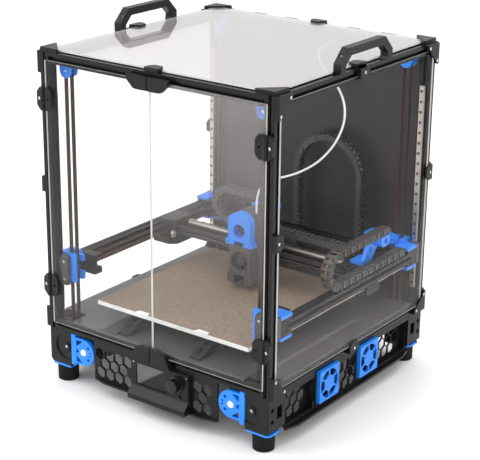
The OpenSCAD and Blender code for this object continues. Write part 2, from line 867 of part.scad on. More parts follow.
module xy_joint() {
  cy = cross_y;
  difference() {
    union() {
      translate([0, 0, 90]) linear_extrude(13) polygon([[192, cy - 30], [206, cy - 42],
        [244, cy - 42], [254, cy - 30], [254, cy + 12], [244, cy + 18], [192, cy + 18]]);
      span([192, cy - 16, 90], [226, cy + 18, 141]);
      translate([0, 0, 131]) linear_extrude(10) polygon([[192, cy - 34],
        [222, cy - 40], [232, cy - 30], [232, cy + 18], [192, cy + 18]]);
      rod_z(205, cy - 25.5, 117, 131.5, 7.6);
      span([235.2, cy - 30, 100], [240.1, cy + 10, 108]);
      span([249.9, cy - 30, 100], [254, cy + 10, 108]);
    }
    span([190, cy - bar / 2, gantry_z], [222, cy + bar / 2, beam_top]);
    for (y = [cy - 32, cy + 12]) rod_z(214, y, 100, 142, 2.4);
  }
}

module xy_joints() color("#202023") lift() {
  for (s = [0, 1]) mirror([s, 0, 0]) xy_joint();
  // rest of the cross chain's fixed end
  span([193, cross_y, 141], [205, cross_y + 18, 150]);
}

module cross_belts() color("#6b4a48") lift() {
  y = cross_y - 18.5;
  span([-197, y, 107], [197, y + 1.4, 113]);
  span([-197, y, 118], [197, y + 1.4, 127]);
}

module chain_arm() color("#2a78ec") lift() difference() {
  union() {
    span([206, 64, 141.1], [232, 98, 148]);
    plate_yz(224, 232) polygon([[64, 141.1], [96, 141.1], [108, 156], [118, 165],
      [126, 170], [126, 190.9], [94, 190.9], [86, 174], [72, 148], [64, 148]]);
    plate_yz(224, 252) polygon([[97, 178], [104, 170], [120, 170], [126, 175],
      [126, 190.9], [97, 190.9]]);
  }
  rod_x(82, 153, 223, 233, 3.5);
  rod_x(92, 165, 223, 233, 4.5);
  rod_x(113, 180, 223, 253, 5);
}

// ---- toolhead --------------------------------------------------------------

module head_carriage() color("#1c1c1f") lift() {
  cy = cross_y;
  plate_yz(head_x - 25, head_x + 25) polygon([[cy - 30, 94], [cy + 11, 94],
    [cy + 11, 102.9], [cy - 21, 102.9], [cy - 21, 137.1], [cy + 11, 137.1],
    [cy + 11, 146], [cy - 30, 146]]);
}

module extruder() color("#39383b") lift() difference() {
  translate([head_x, 0, 0]) plate_xz(8.2, 62) polygon([[-24, 148], [24, 148],
    [24, 196], [18, 208], [8, 213], [-8, 213], [-18, 208], [-24, 196]]);
  rod_z(head_x + 16, 26, 190, 214, 2.6);
  rod_y(head_x, 178, 7, 11, 13);
}

module cowl_outline() {
  difference() {
    union() {
      translate([-26, 152]) square([52, 42]);
      translate([-31, 148]) square([62, 9]);
      translate([0, 192]) circle(r = 22);
      for (x = [-10, 10]) translate([x, 194]) circle(r = 16);
    }
    translate([0, 178]) circle(r = 13);
    polygon([[-12, 147], [12, 147], [9, 156], [-9, 156]]);
    for (x = [-26, 26]) translate([x, 152.5]) circle(r = 2);
  }
}

module toolhead_cowl() color("#3b83f5") lift() {
  translate([head_x, 0, 0]) plate_xz(-8, 8) cowl_outline();
  // anchor of the cross chain behind the extruder
  plate_yz(head_x - 22, head_x + 22) polygon([[62.1, 176], [66, 176], [66, 196],
    [98, 200], [98, 209.9], [62.1, 209.9]]);
  span([head_x + 16, 76, 209], [head_x + 19, 98, 230]);
}

module hotend_duct() color("#343336") lift() difference() {
  translate([head_x, 0, 0]) plate_xz(-6, 49.9) polygon([[-24, 147.9], [24, 147.9],
    [24, 96], [29, 84], [29, 72], [12, 68], [12, 88], [-12, 88], [-12, 68],
    [-29, 72], [-29, 84], [-24, 96]]);
  rod_y(head_x, 116, -7, 7, 19.3);
  span([head_x - 12.5, 7, 87], [head_x + 12.5, 44, 130]);
  for (x = [-17, 17], z = [99, 133]) rod_y(head_x + x, z, -7, -3, 1.6);
}

module hotend() color("#b79a5c") lift() translate([head_x, 30, 0]) {
  translate([0, 0, 62]) rotate_extrude() polygon([[0, 0], [0.6, 0], [3.5, 3.4],
    [3.5, 6.2], [0, 6.2]]);
  span([-10, -8, 68], [10, 8, 80]);
  rod_z(0, 0, 79, 96, 2.5);
  rod_z(0, 0, 95, 130, 9.5);
}

module hotend_rotor() color("#4a494c") lift() translate([head_x, 0.5, 116])
  rotate([0, 0, 90]) fan_wheel(10, 18, 8);

// ---- chains and tube -------------------------------------------------------

module x_chain() color("#242427") lift()
  translate([-92, cross_y, gantry_z + 77]) plate_xz(0, chain_w) chain_band(290, 110);

module y_chain() color("#242427") lift()
  translate([post_c, -42, beam_top + 38.5]) plate_yz(-10, 10) chain_band(227, 166);

module z_chain() color("#242427") lift() {
  r = 73;
  top = 243;
  plate_xz(220, 240) translate([48, 0]) difference() {
    union() {
      translate([0, top]) circle(r = r + chain_t / 2);
      translate([-r - chain_t / 2, deck_top]) square([chain_t, top - deck_top]);
      translate([r - chain_t / 2, gantry_z + 4]) square([chain_t, top - gantry_z - 4]);
    }
    translate([0, top]) circle(r = r - chain_t / 2);
    translate([chain_t / 2 - r, 0]) square([2 * r - chain_t, top]);
  }
}

// Route of the filament tube from the extruder to the back panel
tube_d = 4;
tube_route = [[19, 26, 192], [19, 26, 212], [21, 25, 238], [32, 22, 264],
  [56, 18, 284], [92, 14, 298], [130, 8, 317], [170, 4, 345], [206, -4, 384],
  [230, -14, 426], [238, -24, 462], [228, -26, 490], [196, -6, 504],
  [150, 40, 508], [100, 100, 508], [60, 165, 505], [38, 220, 501], [36, 262, 500]];
tube_steps = 4;

// A smooth curve through the route's points
function curve_at(p, i, t) =
  let (n = len(p) - 1, a = p[max(i - 1, 0)], b = p[i], c = p[min(i + 1, n)],
    d = p[min(i + 2, n)])
  0.5 * (2 * b + (c - a) * t + (2 * a - 5 * b + 4 * c - d) * t * t
    + (3 * b - a - 3 * c + d) * t * t * t);
function curve_points(p, steps) = concat(
  [for (i = [0:len(p) - 2], s = [0:steps - 1]) curve_at(p, i, s / steps)],
  [p[len(p) - 1]]);
function unit(v) = v / norm(v);
function tangents(q) = let (n = len(q) - 1)
  [for (i = [0:n]) unit(q[min(i + 1, n)] - q[max(i - 1, 0)])];
function across(v, t) = unit(v - t * (v * t));
function side_vectors(t) = [for (i = 0, u = across([1, 0, 0], t[0]); i < len(t);
  i = i + 1, u = i < len(t) ? across(u, t[i]) : u) u];

// A round tube swept along the points q
module tube(q, r, sides) {
  t = tangents(q);
  u = side_vectors(t);
  n = len(q);
  points = [for (i = [0:n - 1], k = [0:sides - 1])
    q[i] + r * (u[i] * cos(k * 360 / sides) + cross(t[i], u[i]) * sin(k * 360 / sides))];
  walls = [for (i = [0:n - 2], k = [0:sides - 1])
    [i * sides + k, i * sides + (k + 1) % sides,
      (i + 1) * sides + (k + 1) % sides, (i + 1) * sides + k]];
  start = [for (k = [sides - 1:-1:0]) k];
  finish = [for (k = [0:sides - 1]) (n - 1) * sides + k];
  polyhedron(points = points, faces = [for (f = concat(walls, [start, finish]))
    [for (i = [len(f) - 1:-1:0]) f[i]]]);
}

module filament_tube() color("#f0f2f5") lift()
  tube(curve_points(tube_route, tube_steps), tube_d / 2, 8);

// ---- nodes -----------------------------------------------------------------

frame_bars();
deck_panel();
back_panel();
clear_panels();
panel_clips();
fasteners();
handles();
z_drive_housings();
z_base_plates();
feet();
z_tensioners();
z_motors();
z_idler_brackets();
z_pulleys();
z_belts();
z_rails();
skirts();
fan_grilles();
bay_fans();
bay_rotor_front();
bay_rotor_rear();
bed_rails();
bed_brackets();
bed_plate();
build_sheet();
electronics_modules();
power_inlet();
power_switch();
display_case();
display_screen();
display_knob();
reset_button();
door_hinge_mounts();
left_door_panel();
left_door_fittings();
right_door_panel();
right_door_fittings();
gantry_beams();
gantry_rails();
z_joints();
z_carriages();
gantry_belts();
belt_drives();
ab_motors();
drive_covers();
cross_beam();
cross_rails();
xy_joints();
cross_belts();
chain_arm();
head_carriage();
extruder();
toolhead_cowl();
hotend_duct();
hotend();
hotend_rotor();
x_chain();
y_chain();
z_chain();
filament_tube();
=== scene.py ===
"""An enclosed gantry printer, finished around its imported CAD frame.

Sizes are in millimetres in the frame's own numbers, measured from the middle of the
extrusion frame's underside, as in the CAD source; place() turns them into metres.
"""
import math
import random

import bmesh
import bpy
from mathutils import Matrix, Vector


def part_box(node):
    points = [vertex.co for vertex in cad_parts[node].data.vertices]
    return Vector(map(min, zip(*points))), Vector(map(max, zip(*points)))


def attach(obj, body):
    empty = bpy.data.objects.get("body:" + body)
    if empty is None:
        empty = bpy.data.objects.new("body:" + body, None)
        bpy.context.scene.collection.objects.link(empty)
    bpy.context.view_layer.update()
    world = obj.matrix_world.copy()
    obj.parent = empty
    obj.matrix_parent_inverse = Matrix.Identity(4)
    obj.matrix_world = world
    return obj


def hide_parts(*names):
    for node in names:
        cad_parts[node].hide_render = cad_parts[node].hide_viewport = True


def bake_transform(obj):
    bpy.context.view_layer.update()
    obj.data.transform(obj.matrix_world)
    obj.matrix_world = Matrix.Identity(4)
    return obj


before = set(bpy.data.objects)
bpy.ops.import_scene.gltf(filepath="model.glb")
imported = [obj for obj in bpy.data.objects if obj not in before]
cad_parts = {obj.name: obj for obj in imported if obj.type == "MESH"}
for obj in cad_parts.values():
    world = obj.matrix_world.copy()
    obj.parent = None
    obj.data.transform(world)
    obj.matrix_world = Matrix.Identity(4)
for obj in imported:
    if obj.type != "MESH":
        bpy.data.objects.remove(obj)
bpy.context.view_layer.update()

MM = 0.001
frame_low, frame_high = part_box("frame_bars")
ORIGIN = Vector((0, (frame_low.y + frame_high.y) / 2, frame_low.z))
X, Y, Z = Vector((1, 0, 0)), Vector((0, 1, 0)), Vector((0, 0, 1))
CORNERS = [(sx, sy) for sx in (-1, 1) for sy in (-1, 1)]


def place(x, y, z):
    """A point in frame millimetres, as metres in the row frame."""
    return ORIGIN + Vector((x, y, z)) * MM


def extent(node):
    """A CAD node's lowest and highest corners in frame millimetres."""
    low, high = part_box(node)
    return (low - ORIGIN) / MM, (high - ORIGIN) / MM


# ---- camera ----

CAMERA_AT = (1527.5, -2061.9, 1110.9)
CAMERA_DEGREES = (36.53, 19.99, 0.6)  # azimuth, elevation and roll
CAMERA_LENS = 108.7


def add_camera():
    """The camera stands in front and to the right, a little above the printer."""
    azimuth, elevation, roll = (math.radians(a) for a in CAMERA_DEGREES)
    right = Vector((math.cos(azimuth), math.sin(azimuth), 0))
    back = Vector((math.sin(azimuth) * math.cos(elevation),
                   -math.cos(azimuth) * math.cos(elevation), math.sin(elevation)))
    up = back.cross(right)
    turn = Matrix.Rotation(roll, 3, back)
    data = bpy.data.cameras.new("camera")
    data.sensor_width = 36
    data.lens = CAMERA_LENS
    data.clip_end = 50
    camera = bpy.data.objects.new("camera", data)
    bpy.context.scene.collection.objects.link(camera)
    rows = Matrix((turn @ right, turn @ up, back)).transposed()
    camera.matrix_world = Matrix.Translation(place(*CAMERA_AT)) @ rows.to_4x4()
    bpy.context.scene.camera = camera


add_camera()

# ---- materials ----


def map_range(tree, value, limits):
    """Maps a value between two limits to two others, or to 0 and 1 if none are given."""
    node = tree.nodes.new("ShaderNodeMapRange")
    for socket, limit in zip(("From Min", "From Max", "To Min", "To Max"), limits):
        node.inputs[socket].default_value = limit
    tree.links.new(value, node.inputs["Value"])
    return node.outputs["Result"]


class Nodes:
    """A short way to write one material's node tree."""

    def __init__(self, name):
        self.material = bpy.data.materials.new(name)
        self.material.use_nodes = True
        self.tree = self.material.node_tree
        self.shader = self.tree.nodes["Principled BSDF"]
        self.out = self.tree.nodes["Material Output"]
        self.place = self.add("ShaderNodeTexCoord").outputs["Object"]

    def add(self, kind, inputs=(), **values):
        """A node, its attributes' values, and a dict of its inputs' values."""
        node = self.tree.nodes.new(kind)
        for key, value in values.items():
            setattr(node, key, value)
        for key, value in dict(inputs).items():
            node.inputs[key].default_value = value
        return node

    def link(self, a, b):
        self.tree.links.new(a, b)

    def scaled(self, scale):
        """Object coordinates, stretched by three factors."""
        mapping = self.add("ShaderNodeMapping", dict(Scale=scale))
        self.link(self.place, mapping.inputs["Vector"])
        return mapping.outputs["Vector"]

    def noise(self, scale, detail, stretch=(1, 1, 1)):
        node = self.add("ShaderNodeTexNoise", dict(Scale=scale, Detail=detail, Roughness=0.55))
        self.link(self.scaled(stretch), node.inputs["Vector"])
        return node.outputs["Fac"]

    def ramp(self, value, stops):
        """A colour ramp with stops of (position, colour)."""
        node = self.add("ShaderNodeValToRGB")
        while len(node.color_ramp.elements) < len(stops):
            node.color_ramp.elements.new(0.5)
        for element, (position, colour) in zip(node.color_ramp.elements, stops):
            element.position = position
            element.color = (*colour, 1)
        self.link(value, node.inputs["Fac"])
        return node.outputs["Color"]

    def spread(self, value, low, high):
        """Maps a noise, which stays mostly between 0.3 and 0.7, to low..high."""
        return map_range(self.tree, value, (0.3, 0.7, low, high))

    def parts(self):
        """The object coordinates, one by one."""
        node = self.add("ShaderNodeSeparateXYZ")
        self.link(self.place, node.inputs["Vector"])
        return node.outputs

    def mix(self, share, first, second):
        """A shader node between two others."""
        node = self.add("ShaderNodeMixShader")
        self.link(share, node.inputs["Fac"])
        self.link(first.outputs[0], node.inputs[1])
        self.link(second.outputs[0], node.inputs[2])
        return node

    def math(self, operation, a, b):
        node = self.add("ShaderNodeMath", operation=operation)
        for socket, value in zip(node.inputs, (a, b)):
            if isinstance(value, (int, float)):
                socket.default_value = value
            else:
                self.link(value, socket)
        return node.outputs["Value"]

    def bump(self, height, strength, distance):
        node = self.add("ShaderNodeBump", dict(Strength=strength, Distance=distance))
        self.link(height, node.inputs["Height"])
        self.link(node.outputs["Normal"], self.shader.inputs["Normal"])

    def set(self, **values):
        for key, value in values.items():
            self.shader.inputs[key.replace("_", " ")].default_value = value


def shade(colour, factor):
    return tuple(min(1.0, c * factor) for c in colour)


# what a plain finish has unless it says otherwise
USUAL = dict(metal=0.0, specular=0.5, patch=0.12, grain=900.0, stretch=(1, 1, 1), bump=0.15)


def plain(name, colour, rough, rest=()):
    """A solid finish: slow colour change, uneven roughness and a fine surface grain."""
    own = {**USUAL, **dict(rest)}
    n, patch = Nodes(name), own["patch"]
    slow = n.noise(14, 3)
    fine = n.noise(own["grain"], 3, own["stretch"])
    n.link(n.ramp(slow, [(0.35, shade(colour, 1 - patch)), (0.65, shade(colour, 1 + patch))]),
           n.shader.inputs["Base Color"])
    n.link(n.spread(fine, rough * 0.85, min(1.0, rough * 1.15)), n.shader.inputs["Roughness"])
    n.bump(fine, own["bump"], 0.00005)
    n.set(Metallic=own["metal"], Specular_IOR_Level=own["specular"])
    return n.material


LAYER = 0.2  # height of a printed layer, in millimetres


def printed(name, colour, rough, specular=0.4):
    """Printed plastic: level layer lines, slow colour change and a satin face."""
    n = Nodes(name)
    wave = n.add("ShaderNodeTexWave", dict(Scale=math.pi / 10 / (LAYER * MM), Distortion=0.4,
                                           Detail=1.0),
                 wave_type="BANDS", bands_direction="Z", wave_profile="SIN")
    n.link(n.place, wave.inputs["Vector"])
    slow = n.noise(22, 3)
    fine = n.noise(1500, 2)
    n.link(n.ramp(slow, [(0.35, shade(colour, 0.9)), (0.65, shade(colour, 1.08))]),
           n.shader.inputs["Base Color"])
    n.link(n.spread(fine, rough * 0.85, rough * 1.15), n.shader.inputs["Roughness"])
    height = n.math("ADD", n.math("MULTIPLY", wave.outputs["Fac"], 0.7),
                    n.math("MULTIPLY", fine, 0.3))
    n.bump(height, 0.25, 0.00004)
    n.set(Specular_IOR_Level=specular)
    return n.material


def pane(name, mirror, power, film, heights):
    """Thin clear sheet: light passes straight through, it mirrors more at a slant, and it carries
    a faint uneven pale film, partly dust and partly painted light, given at the sheet's foot and
    at its head.
    mirror is what one face mirrors head-on and edge-on."""
    n = Nodes(name)
    facing = n.add("ShaderNodeLayerWeight").outputs["Facing"]
    steep = n.math("POWER", facing, power)
    share = n.math("ADD", n.math("MULTIPLY", steep, mirror[1]), mirror[0])
    clear = n.add("ShaderNodeBsdfTransparent", dict(Color=(0.985, 0.985, 0.985, 1)))
    n.link(n.spread(n.noise(9, 3), 0.01, 0.03), n.shader.inputs["Roughness"])
    n.set(Metallic=1.0, Base_Color=(0.93, 0.93, 0.93, 1))
    glossy = n.mix(share, clear, n.shader)
    # painted light: the film's strength ramps with height, partly as dust and partly as painted
    # light
    level = map_range(n.tree, n.parts()["Z"], heights + film)
    patches = n.spread(n.noise(5, 4), 0.85, 1.15)
    dust_and_painted_haze = n.add("ShaderNodeBsdfDiffuse", dict(Color=(0.72, 0.69, 0.68, 1)))
    dust_and_haze_shader = n.mix(n.math("MULTIPLY", level, patches), glossy, dust_and_painted_haze)
    n.link(dust_and_haze_shader.outputs[0], n.out.inputs["Surface"])
    return n.material


def screen(name, dark, painted_sheen_colour):
    """A switched-off display under glass: a painted reflection, a grey sheen painted into the
    base colour over one corner, black elsewhere.
    """
    n = Nodes(name)
    parts, slope = n.parts(), 1.5
    lean = n.math("ADD", n.math("MULTIPLY", parts["Z"], slope),
                  n.math("MULTIPLY", parts["X"], -1.0))
    low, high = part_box("display_screen")
    middle = (low + high) / 2
    centre = slope * middle.z - middle.x
    # painted reflection: a grey diagonal sheen painted into the base colour over the upper left
    # corner
    level = map_range(n.tree, lean, (centre - 0.002, centre + 0.004))
    painted_sheen_mask = n.math("MULTIPLY", level, n.spread(n.noise(30, 3), 0.8, 1.0))
    n.link(n.ramp(painted_sheen_mask, [(0.0, dark), (1.0, painted_sheen_colour)]), n.shader.inputs["Base Color"])
    n.link(n.spread(n.noise(400, 2), 0.04, 0.08), n.shader.inputs["Roughness"])
    n.set(Specular_IOR_Level=0.3)
    return n.material


def speckled(name, base, dark, light):
    """Powder-coated spring steel: brown with fine dark and pale grains."""
    n = Nodes(name)
    grains = n.add("ShaderNodeTexVoronoi", dict(Scale=1400))
    n.link(n.place, grains.inputs["Vector"])
    slow = n.noise(7, 4)
    fine = n.noise(700, 4)
    colour = n.ramp(fine, [(0.38, dark), (0.5, base), (0.64, light)])
    tone = n.ramp(slow, [(0.35, (0.88, 0.88, 0.88)), (0.65, (1, 1, 1))])
    mix = n.add("ShaderNodeMix", dict(Factor=1.0), data_type="RGBA", blend_type="MULTIPLY")
    n.link(colour, mix.inputs["A"])
    n.link(tone, mix.inputs["B"])
    n.link(mix.outputs["Result"], n.shader.inputs["Base Color"])
    n.link(n.spread(fine, 0.42, 0.6), n.shader.inputs["Roughness"])
    n.bump(grains.outputs["Distance"], 0.35, 0.00008)
    n.set(Specular_IOR_Level=0.4)
    return n.material


SIDE_HAZE = (place(0, 0, 0).z, place(0, 0, 260).z)
DOOR_HAZE = (place(0, 0, 180).z, place(0, 0, 500).z)
FINISH = {
    "black_print": printed("black_print", (0.008, 0.008, 0.009), 0.3, 0.22),
    "grey_print": printed("grey_print", (0.062, 0.059, 0.06), 0.45),
    "blue_print": printed("blue_print", (0.012, 0.235, 0.9), 0.34),
    # each pane's last two numbers are its film at the foot and at the head, partly dust and
    # partly painted light
    "acrylic_clear": pane("acrylic_clear", (0.004, 0.5), 4, (0.02, 0.005), DOOR_HAZE),
    "acrylic_hazed": pane("acrylic_hazed", (0.004, 0.4), 4, (0.012, 0.13), DOOR_HAZE),
    "acrylic_side": pane("acrylic_side", (0.0, 0.3), 6, (0.05, 0.0), SIDE_HAZE),
    "acrylic_top": pane("acrylic_top", (0.03, 0.9), 1.6, (0.12, 0.12), DOOR_HAZE),
    "sheet_brown": speckled("sheet_brown", (0.25, 0.185, 0.135), (0.12, 0.085, 0.06),
                            (0.42, 0.33, 0.26)),
    # the screen's second colour is a painted reflection over one corner
    "screen_dark": screen("screen_dark", (0.003, 0.0032, 0.004), (0.11, 0.12, 0.12)),
}
# colour, roughness, and what isn't usual
PLAIN = {
    "black_extrusion": ((0.007, 0.007, 0.008), 0.26, dict(
        metal=0.1, specular=0.25, stretch=(1, 1, 0.02), grain=2500, bump=0.1)),
    # painted light: two tones of one cut acrylic edge, a grey painted shade for the head and foot
    # and a bright painted glow for the sides
    "acrylic_rim_painted_shade": ((0.3, 0.32, 0.31), 0.3, dict(patch=0.04, grain=500)),
    "acrylic_edge_painted_glow": ((0.86, 0.87, 0.86), 0.3, dict(patch=0.04, grain=500)),
    "grey_sheet": ((0.05, 0.046, 0.049), 0.3, dict(
        specular=0.2, patch=0.08, grain=300, bump=0.02)),
    "deck_sheet": ((0.075, 0.072, 0.071), 0.06, dict(patch=0.1, grain=40, bump=0.01)),
    "bright_steel": ((0.72, 0.71, 0.69), 0.22, dict(metal=1.0, grain=1200)),
    "foot_rubber": ((0.009, 0.009, 0.01), 0.7, dict(specular=0.15, bump=0.4)),
    "motor_black": ((0.016, 0.016, 0.017), 0.4),
    "motor_steel": ((0.34, 0.33, 0.32), 0.38, dict(
        metal=1.0, stretch=(0.05, 0.05, 1), grain=2200, bump=0.5)),
    "white_pulley": ((0.78, 0.78, 0.75), 0.35, dict(patch=0.05)),
    "belt_brown": ((0.13, 0.062, 0.055), 0.6, dict(
        specular=0.35, patch=0.15, grain=1800, bump=0.4)),
    "belt_black": ((0.03, 0.028, 0.028), 0.55, dict(specular=0.35, patch=0.15, grain=1800)),
    "rail_steel": ((0.47, 0.43, 0.4), 0.34, dict(
        metal=1.0, stretch=(1, 1, 0.03), grain=1800)),
    "dark_steel": ((0.09, 0.09, 0.095), 0.35, dict(metal=0.8)),
    "fan_black": ((0.013, 0.013, 0.014), 0.36),
    "fan_grey": ((0.045, 0.044, 0.046), 0.32),
    "bed_aluminium": ((0.93, 0.93, 0.92), 0.35, dict(
        metal=0.25, stretch=(0.05, 1, 1), grain=1500)),
    "module_metal": ((0.36, 0.37, 0.38), 0.4, dict(metal=0.9)),
    "switch_red": ((0.42, 0.015, 0.012), 0.25),
    "knob_black": ((0.006, 0.006, 0.007), 0.16, dict(specular=0.35)),
    "hotend_brass": ((0.55, 0.4, 0.17), 0.3, dict(metal=1.0)),
    "chain_black": ((0.062, 0.059, 0.058), 0.42),
    "tube_white": ((0.82, 0.85, 0.92), 0.25, dict(patch=0.05)),
    # painted shade: a near-black finish put in screw sockets, bores and holes, where the darkness
    # is shade
    "hole_dark": ((0.015, 0.014, 0.014), 0.6),
    "board_green": ((0.01, 0.09, 0.03), 0.35),
    "wire_red": ((0.6, 0.02, 0.02), 0.35),
    "wire_yellow": ((0.75, 0.5, 0.02), 0.35),
    "wire_blue": ((0.03, 0.12, 0.6), 0.35),
    "wire_green": ((0.02, 0.3, 0.07), 0.35),
    "wire_black": ((0.012, 0.012, 0.012), 0.35),
    "wire_white": ((0.75, 0.74, 0.72), 0.35),
}
for plain_name, (plain_colour, plain_rough, *plain_rest) in PLAIN.items():
    FINISH[plain_name] = plain(plain_name, plain_colour, plain_rough, *plain_rest)

# ---- pieces in mesh code ----


def frame_of(axis):
    """Two unit vectors square to an axis and to each other."""
    axis = Vector(axis).normalized()
    side = Z if abs(axis.z) < 0.9 else X
    u = (side - axis * side.dot(axis)).normalized()
    return u, axis.cross(u)


SHARP = math.radians(32)


class Piece:
    """Faces gathered in frame millimetres, each with the name of its finish."""

    def __init__(self):
        self.points = []
        self.faces = []
        self.finishes = []

    def add(self, points, faces, finish):
        start = len(self.points)
        self.points += [Vector(p) for p in points]
        self.faces += [[start + i for i in f] for f in faces]
        self.finishes += [finish] * len(faces)

    def rings(self, rings, finish, caps=(True, True)):
        """Skins a list of closed rings of equal size."""
        n = len(rings[0])
        faces = [[k * n + i, k * n + (i + 1) % n, (k + 1) * n + (i + 1) % n, (k + 1) * n + i]
                 for k in range(len(rings) - 1) for i in range(n)]
        if caps[0]:
            faces.append(list(range(n - 1, -1, -1)))
        if caps[1]:
            faces.append([(len(rings) - 1) * n + i for i in range(n)])
        self.add([p for ring in rings for p in ring], faces, finish)

    def block(self, low, high, finish):
        (a, b, c), (d, e, f) = low, high
        self.rings([[(a, b, z), (d, b, z), (d, e, z), (a, e, z)] for z in (c, f)], finish)

    def bar(self, centre, axes, sizes, finish):
        """A block about a centre, along three axes."""
        u, v, w = (Vector(a) * s / 2 for a, s in zip(axes, sizes))
        c = Vector(centre)
        self.rings([[c - u - v + k * w, c + u - v + k * w, c + u + v + k * w,
                     c - u + v + k * w] for k in (-1, 1)], finish)

    def prism(self, outline, at, u, v, depth, finish):
        """A flat outline in u and v from a point, thickened along u x v."""
        u, v, at = Vector(u), Vector(v), Vector(at)
        w = u.cross(v)
        self.rings([[at + u * a + v * b + w * d for a, b in outline] for d in (0, depth)],
                   finish)

    def turned(self, profile, at, axis, finish, sides=24, shape=None):
        """A turned solid: profile of (radius, height) along an axis from a point."""
        u, v = frame_of(axis)
        axis, at = Vector(axis).normalized(), Vector(at)
        rings = []
        for radius, height in profile:
            ring = []
            for i in range(sides):
                a = 2 * math.pi * i / sides
                r = radius if shape is None else shape(radius, a)
                ring.append(at + axis * height + (u * math.cos(a) + v * math.sin(a)) * r)
            rings.append(ring)
        self.rings(rings, finish)

    def tube(self, path, radius, finish, sides=8, caps=(True, True)):
        """A round tube along a smooth list of points."""
        path = [Vector(p) for p in path]
        last = len(path) - 1
        rings = []
        u = None
        for i, p in enumerate(path):
            t = (path[min(i + 1, last)] - path[max(i - 1, 0)]).normalized()
            u = frame_of(t)[0] if u is None else (u - t * u.dot(t)).normalized()
            v = t.cross(u)
            rings.append([p + (u * math.cos(a) + v * math.sin(a)) * radius
                          for a in (2 * math.pi * k / sides for k in range(sides))])
        self.rings(rings, finish, caps)

    def build(self, name, body, slot, replaces=(), bevel=0.0):
        """Makes the object, outward facing, with its sharp edges kept."""
        mesh = bpy.data.meshes.new(name)
        mesh.from_pydata([ORIGIN + p * MM for p in self.points], [], self.faces)
        used = sorted(set(self.finishes))
        for finish in used:
            mesh.materials.append(FINISH[finish])
        mesh.polygons.foreach_set("material_index", [used.index(f) for f in self.finishes])
        bm = bmesh.new()
        bm.from_mesh(mesh)
        bmesh.ops.recalc_face_normals(bm, faces=bm.faces)
        bm.to_mesh(mesh)
        bm.free()
        mesh.shade_smooth()
        mesh.set_sharp_from_angle(angle=SHARP)
        obj = bpy.data.objects.new(name, mesh)
        bpy.context.scene.collection.objects.link(obj)
        if bevel:
            soften(obj, bevel)
        if body:
            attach(obj, body)
        if replaces:
            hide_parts(*replaces)
        return obj


HOLED = ("skirts", "fan_grilles", "z_tensioners", "z_drive_housings", "bay_fans")


def soften(obj, width):
    """Rounds an object's edges with modifiers, and leaves its mesh as it is."""
    custom = obj.data.attributes.get("custom_normal")
    if custom:
        obj.data.attributes.remove(custom)
    obj.data.shade_smooth()
    weld = obj.modifiers.new("weld", "WELD")
    weld.merge_threshold = 1e-6
    if obj.name not in HOLED:
        flat = obj.modifiers.new("flat", "DECIMATE")
        flat.decimate_type = "DISSOLVE"
        flat.angle_limit = math.radians(0.5)
    bevel = obj.modifiers.new("bevel", "BEVEL")
    bevel.width = width * MM
    bevel.segments = 2
    bevel.limit_method = "ANGLE"
    bevel.angle_limit = SHARP
    bevel.miter_outer = "MITER_ARC"
    normals = obj.modifiers.new("normals", "WEIGHTED_NORMAL")
    normals.keep_sharp = True


def paint(obj, finish):
    """One finish over a whole CAD node."""
    obj.data.materials.clear()
    obj.data.materials.append(FINISH[finish])
    obj.data.polygons.foreach_set("material_index", [0] * len(obj.data.polygons))


def islands(node):
    """The boxes of a CAD node's separate solids, in frame millimetres."""
    bm = bmesh.new()
    bm.from_mesh(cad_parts[node].data)
    bmesh.ops.remove_doubles(bm, verts=bm.verts, dist=1e-6)
    seen, boxes = set(), []
    for first in bm.verts:
        if first in seen:
            continue
        seen.add(first)
        stack, points = [first], []
        while stack:
            v = stack.pop()
            points.append((v.co - ORIGIN) / MM)
            for e in v.link_edges:
                other = e.other_vert(v)
                if other not in seen:
                    seen.add(other)
                    stack.append(other)
        boxes.append((Vector(map(min, zip(*points))), Vector(map(max, zip(*points)))))
    bm.free()
    return boxes


# ---- CAD nodes that keep their shape ----

# finish, edge rounding in millimetres, and the nodes that have them
KEPT = (
    ("bed_aluminium", 0.6, "bed_plate"),
    ("black_extrusion", 0.2, "bed_rails"),
    ("black_extrusion", 0.25, "frame_bars gantry_beams cross_beam"),
    ("black_print", 0.4, "skirts"),
    ("black_print", 0.8, "panel_clips z_drive_housings bed_brackets door_hinge_mounts "
     "left_door_fittings right_door_fittings belt_drives xy_joints head_carriage"),
    ("black_print", 1.0, "display_case"),
    ("black_print", 1.4, "handles"),
    ("blue_print", 0.4, "fan_grilles"),
    ("blue_print", 0.6, "z_base_plates z_tensioners"),
    ("blue_print", 0.8, "z_idler_brackets drive_covers chain_arm"),
    ("blue_print", 1.0, "z_joints"),
    ("blue_print", 1.2, "toolhead_cowl"),
    ("dark_steel", 0.5, "z_carriages"),
    ("deck_sheet", 0.2, "deck_panel"),
    ("fan_black", 0.5, "bay_fans"),
    ("fan_black", 0.6, "power_inlet"),
    ("grey_print", 0.8, "extruder hotend_duct"),
    ("grey_sheet", 0.2, "back_panel"),
    ("knob_black", 0.6, "reset_button"),
    ("module_metal", 0.8, "electronics_modules"),
    ("screen_dark", 0.3, "display_screen"),
    ("sheet_brown", 0.15, "build_sheet"),
    ("switch_red", 0.8, "power_switch"),
)
for kept_finish, kept_rounding, kept_nodes in KEPT:
    for kept_node in kept_nodes.split():
        paint(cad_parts[kept_node], kept_finish)
        soften(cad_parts[kept_node], kept_rounding)


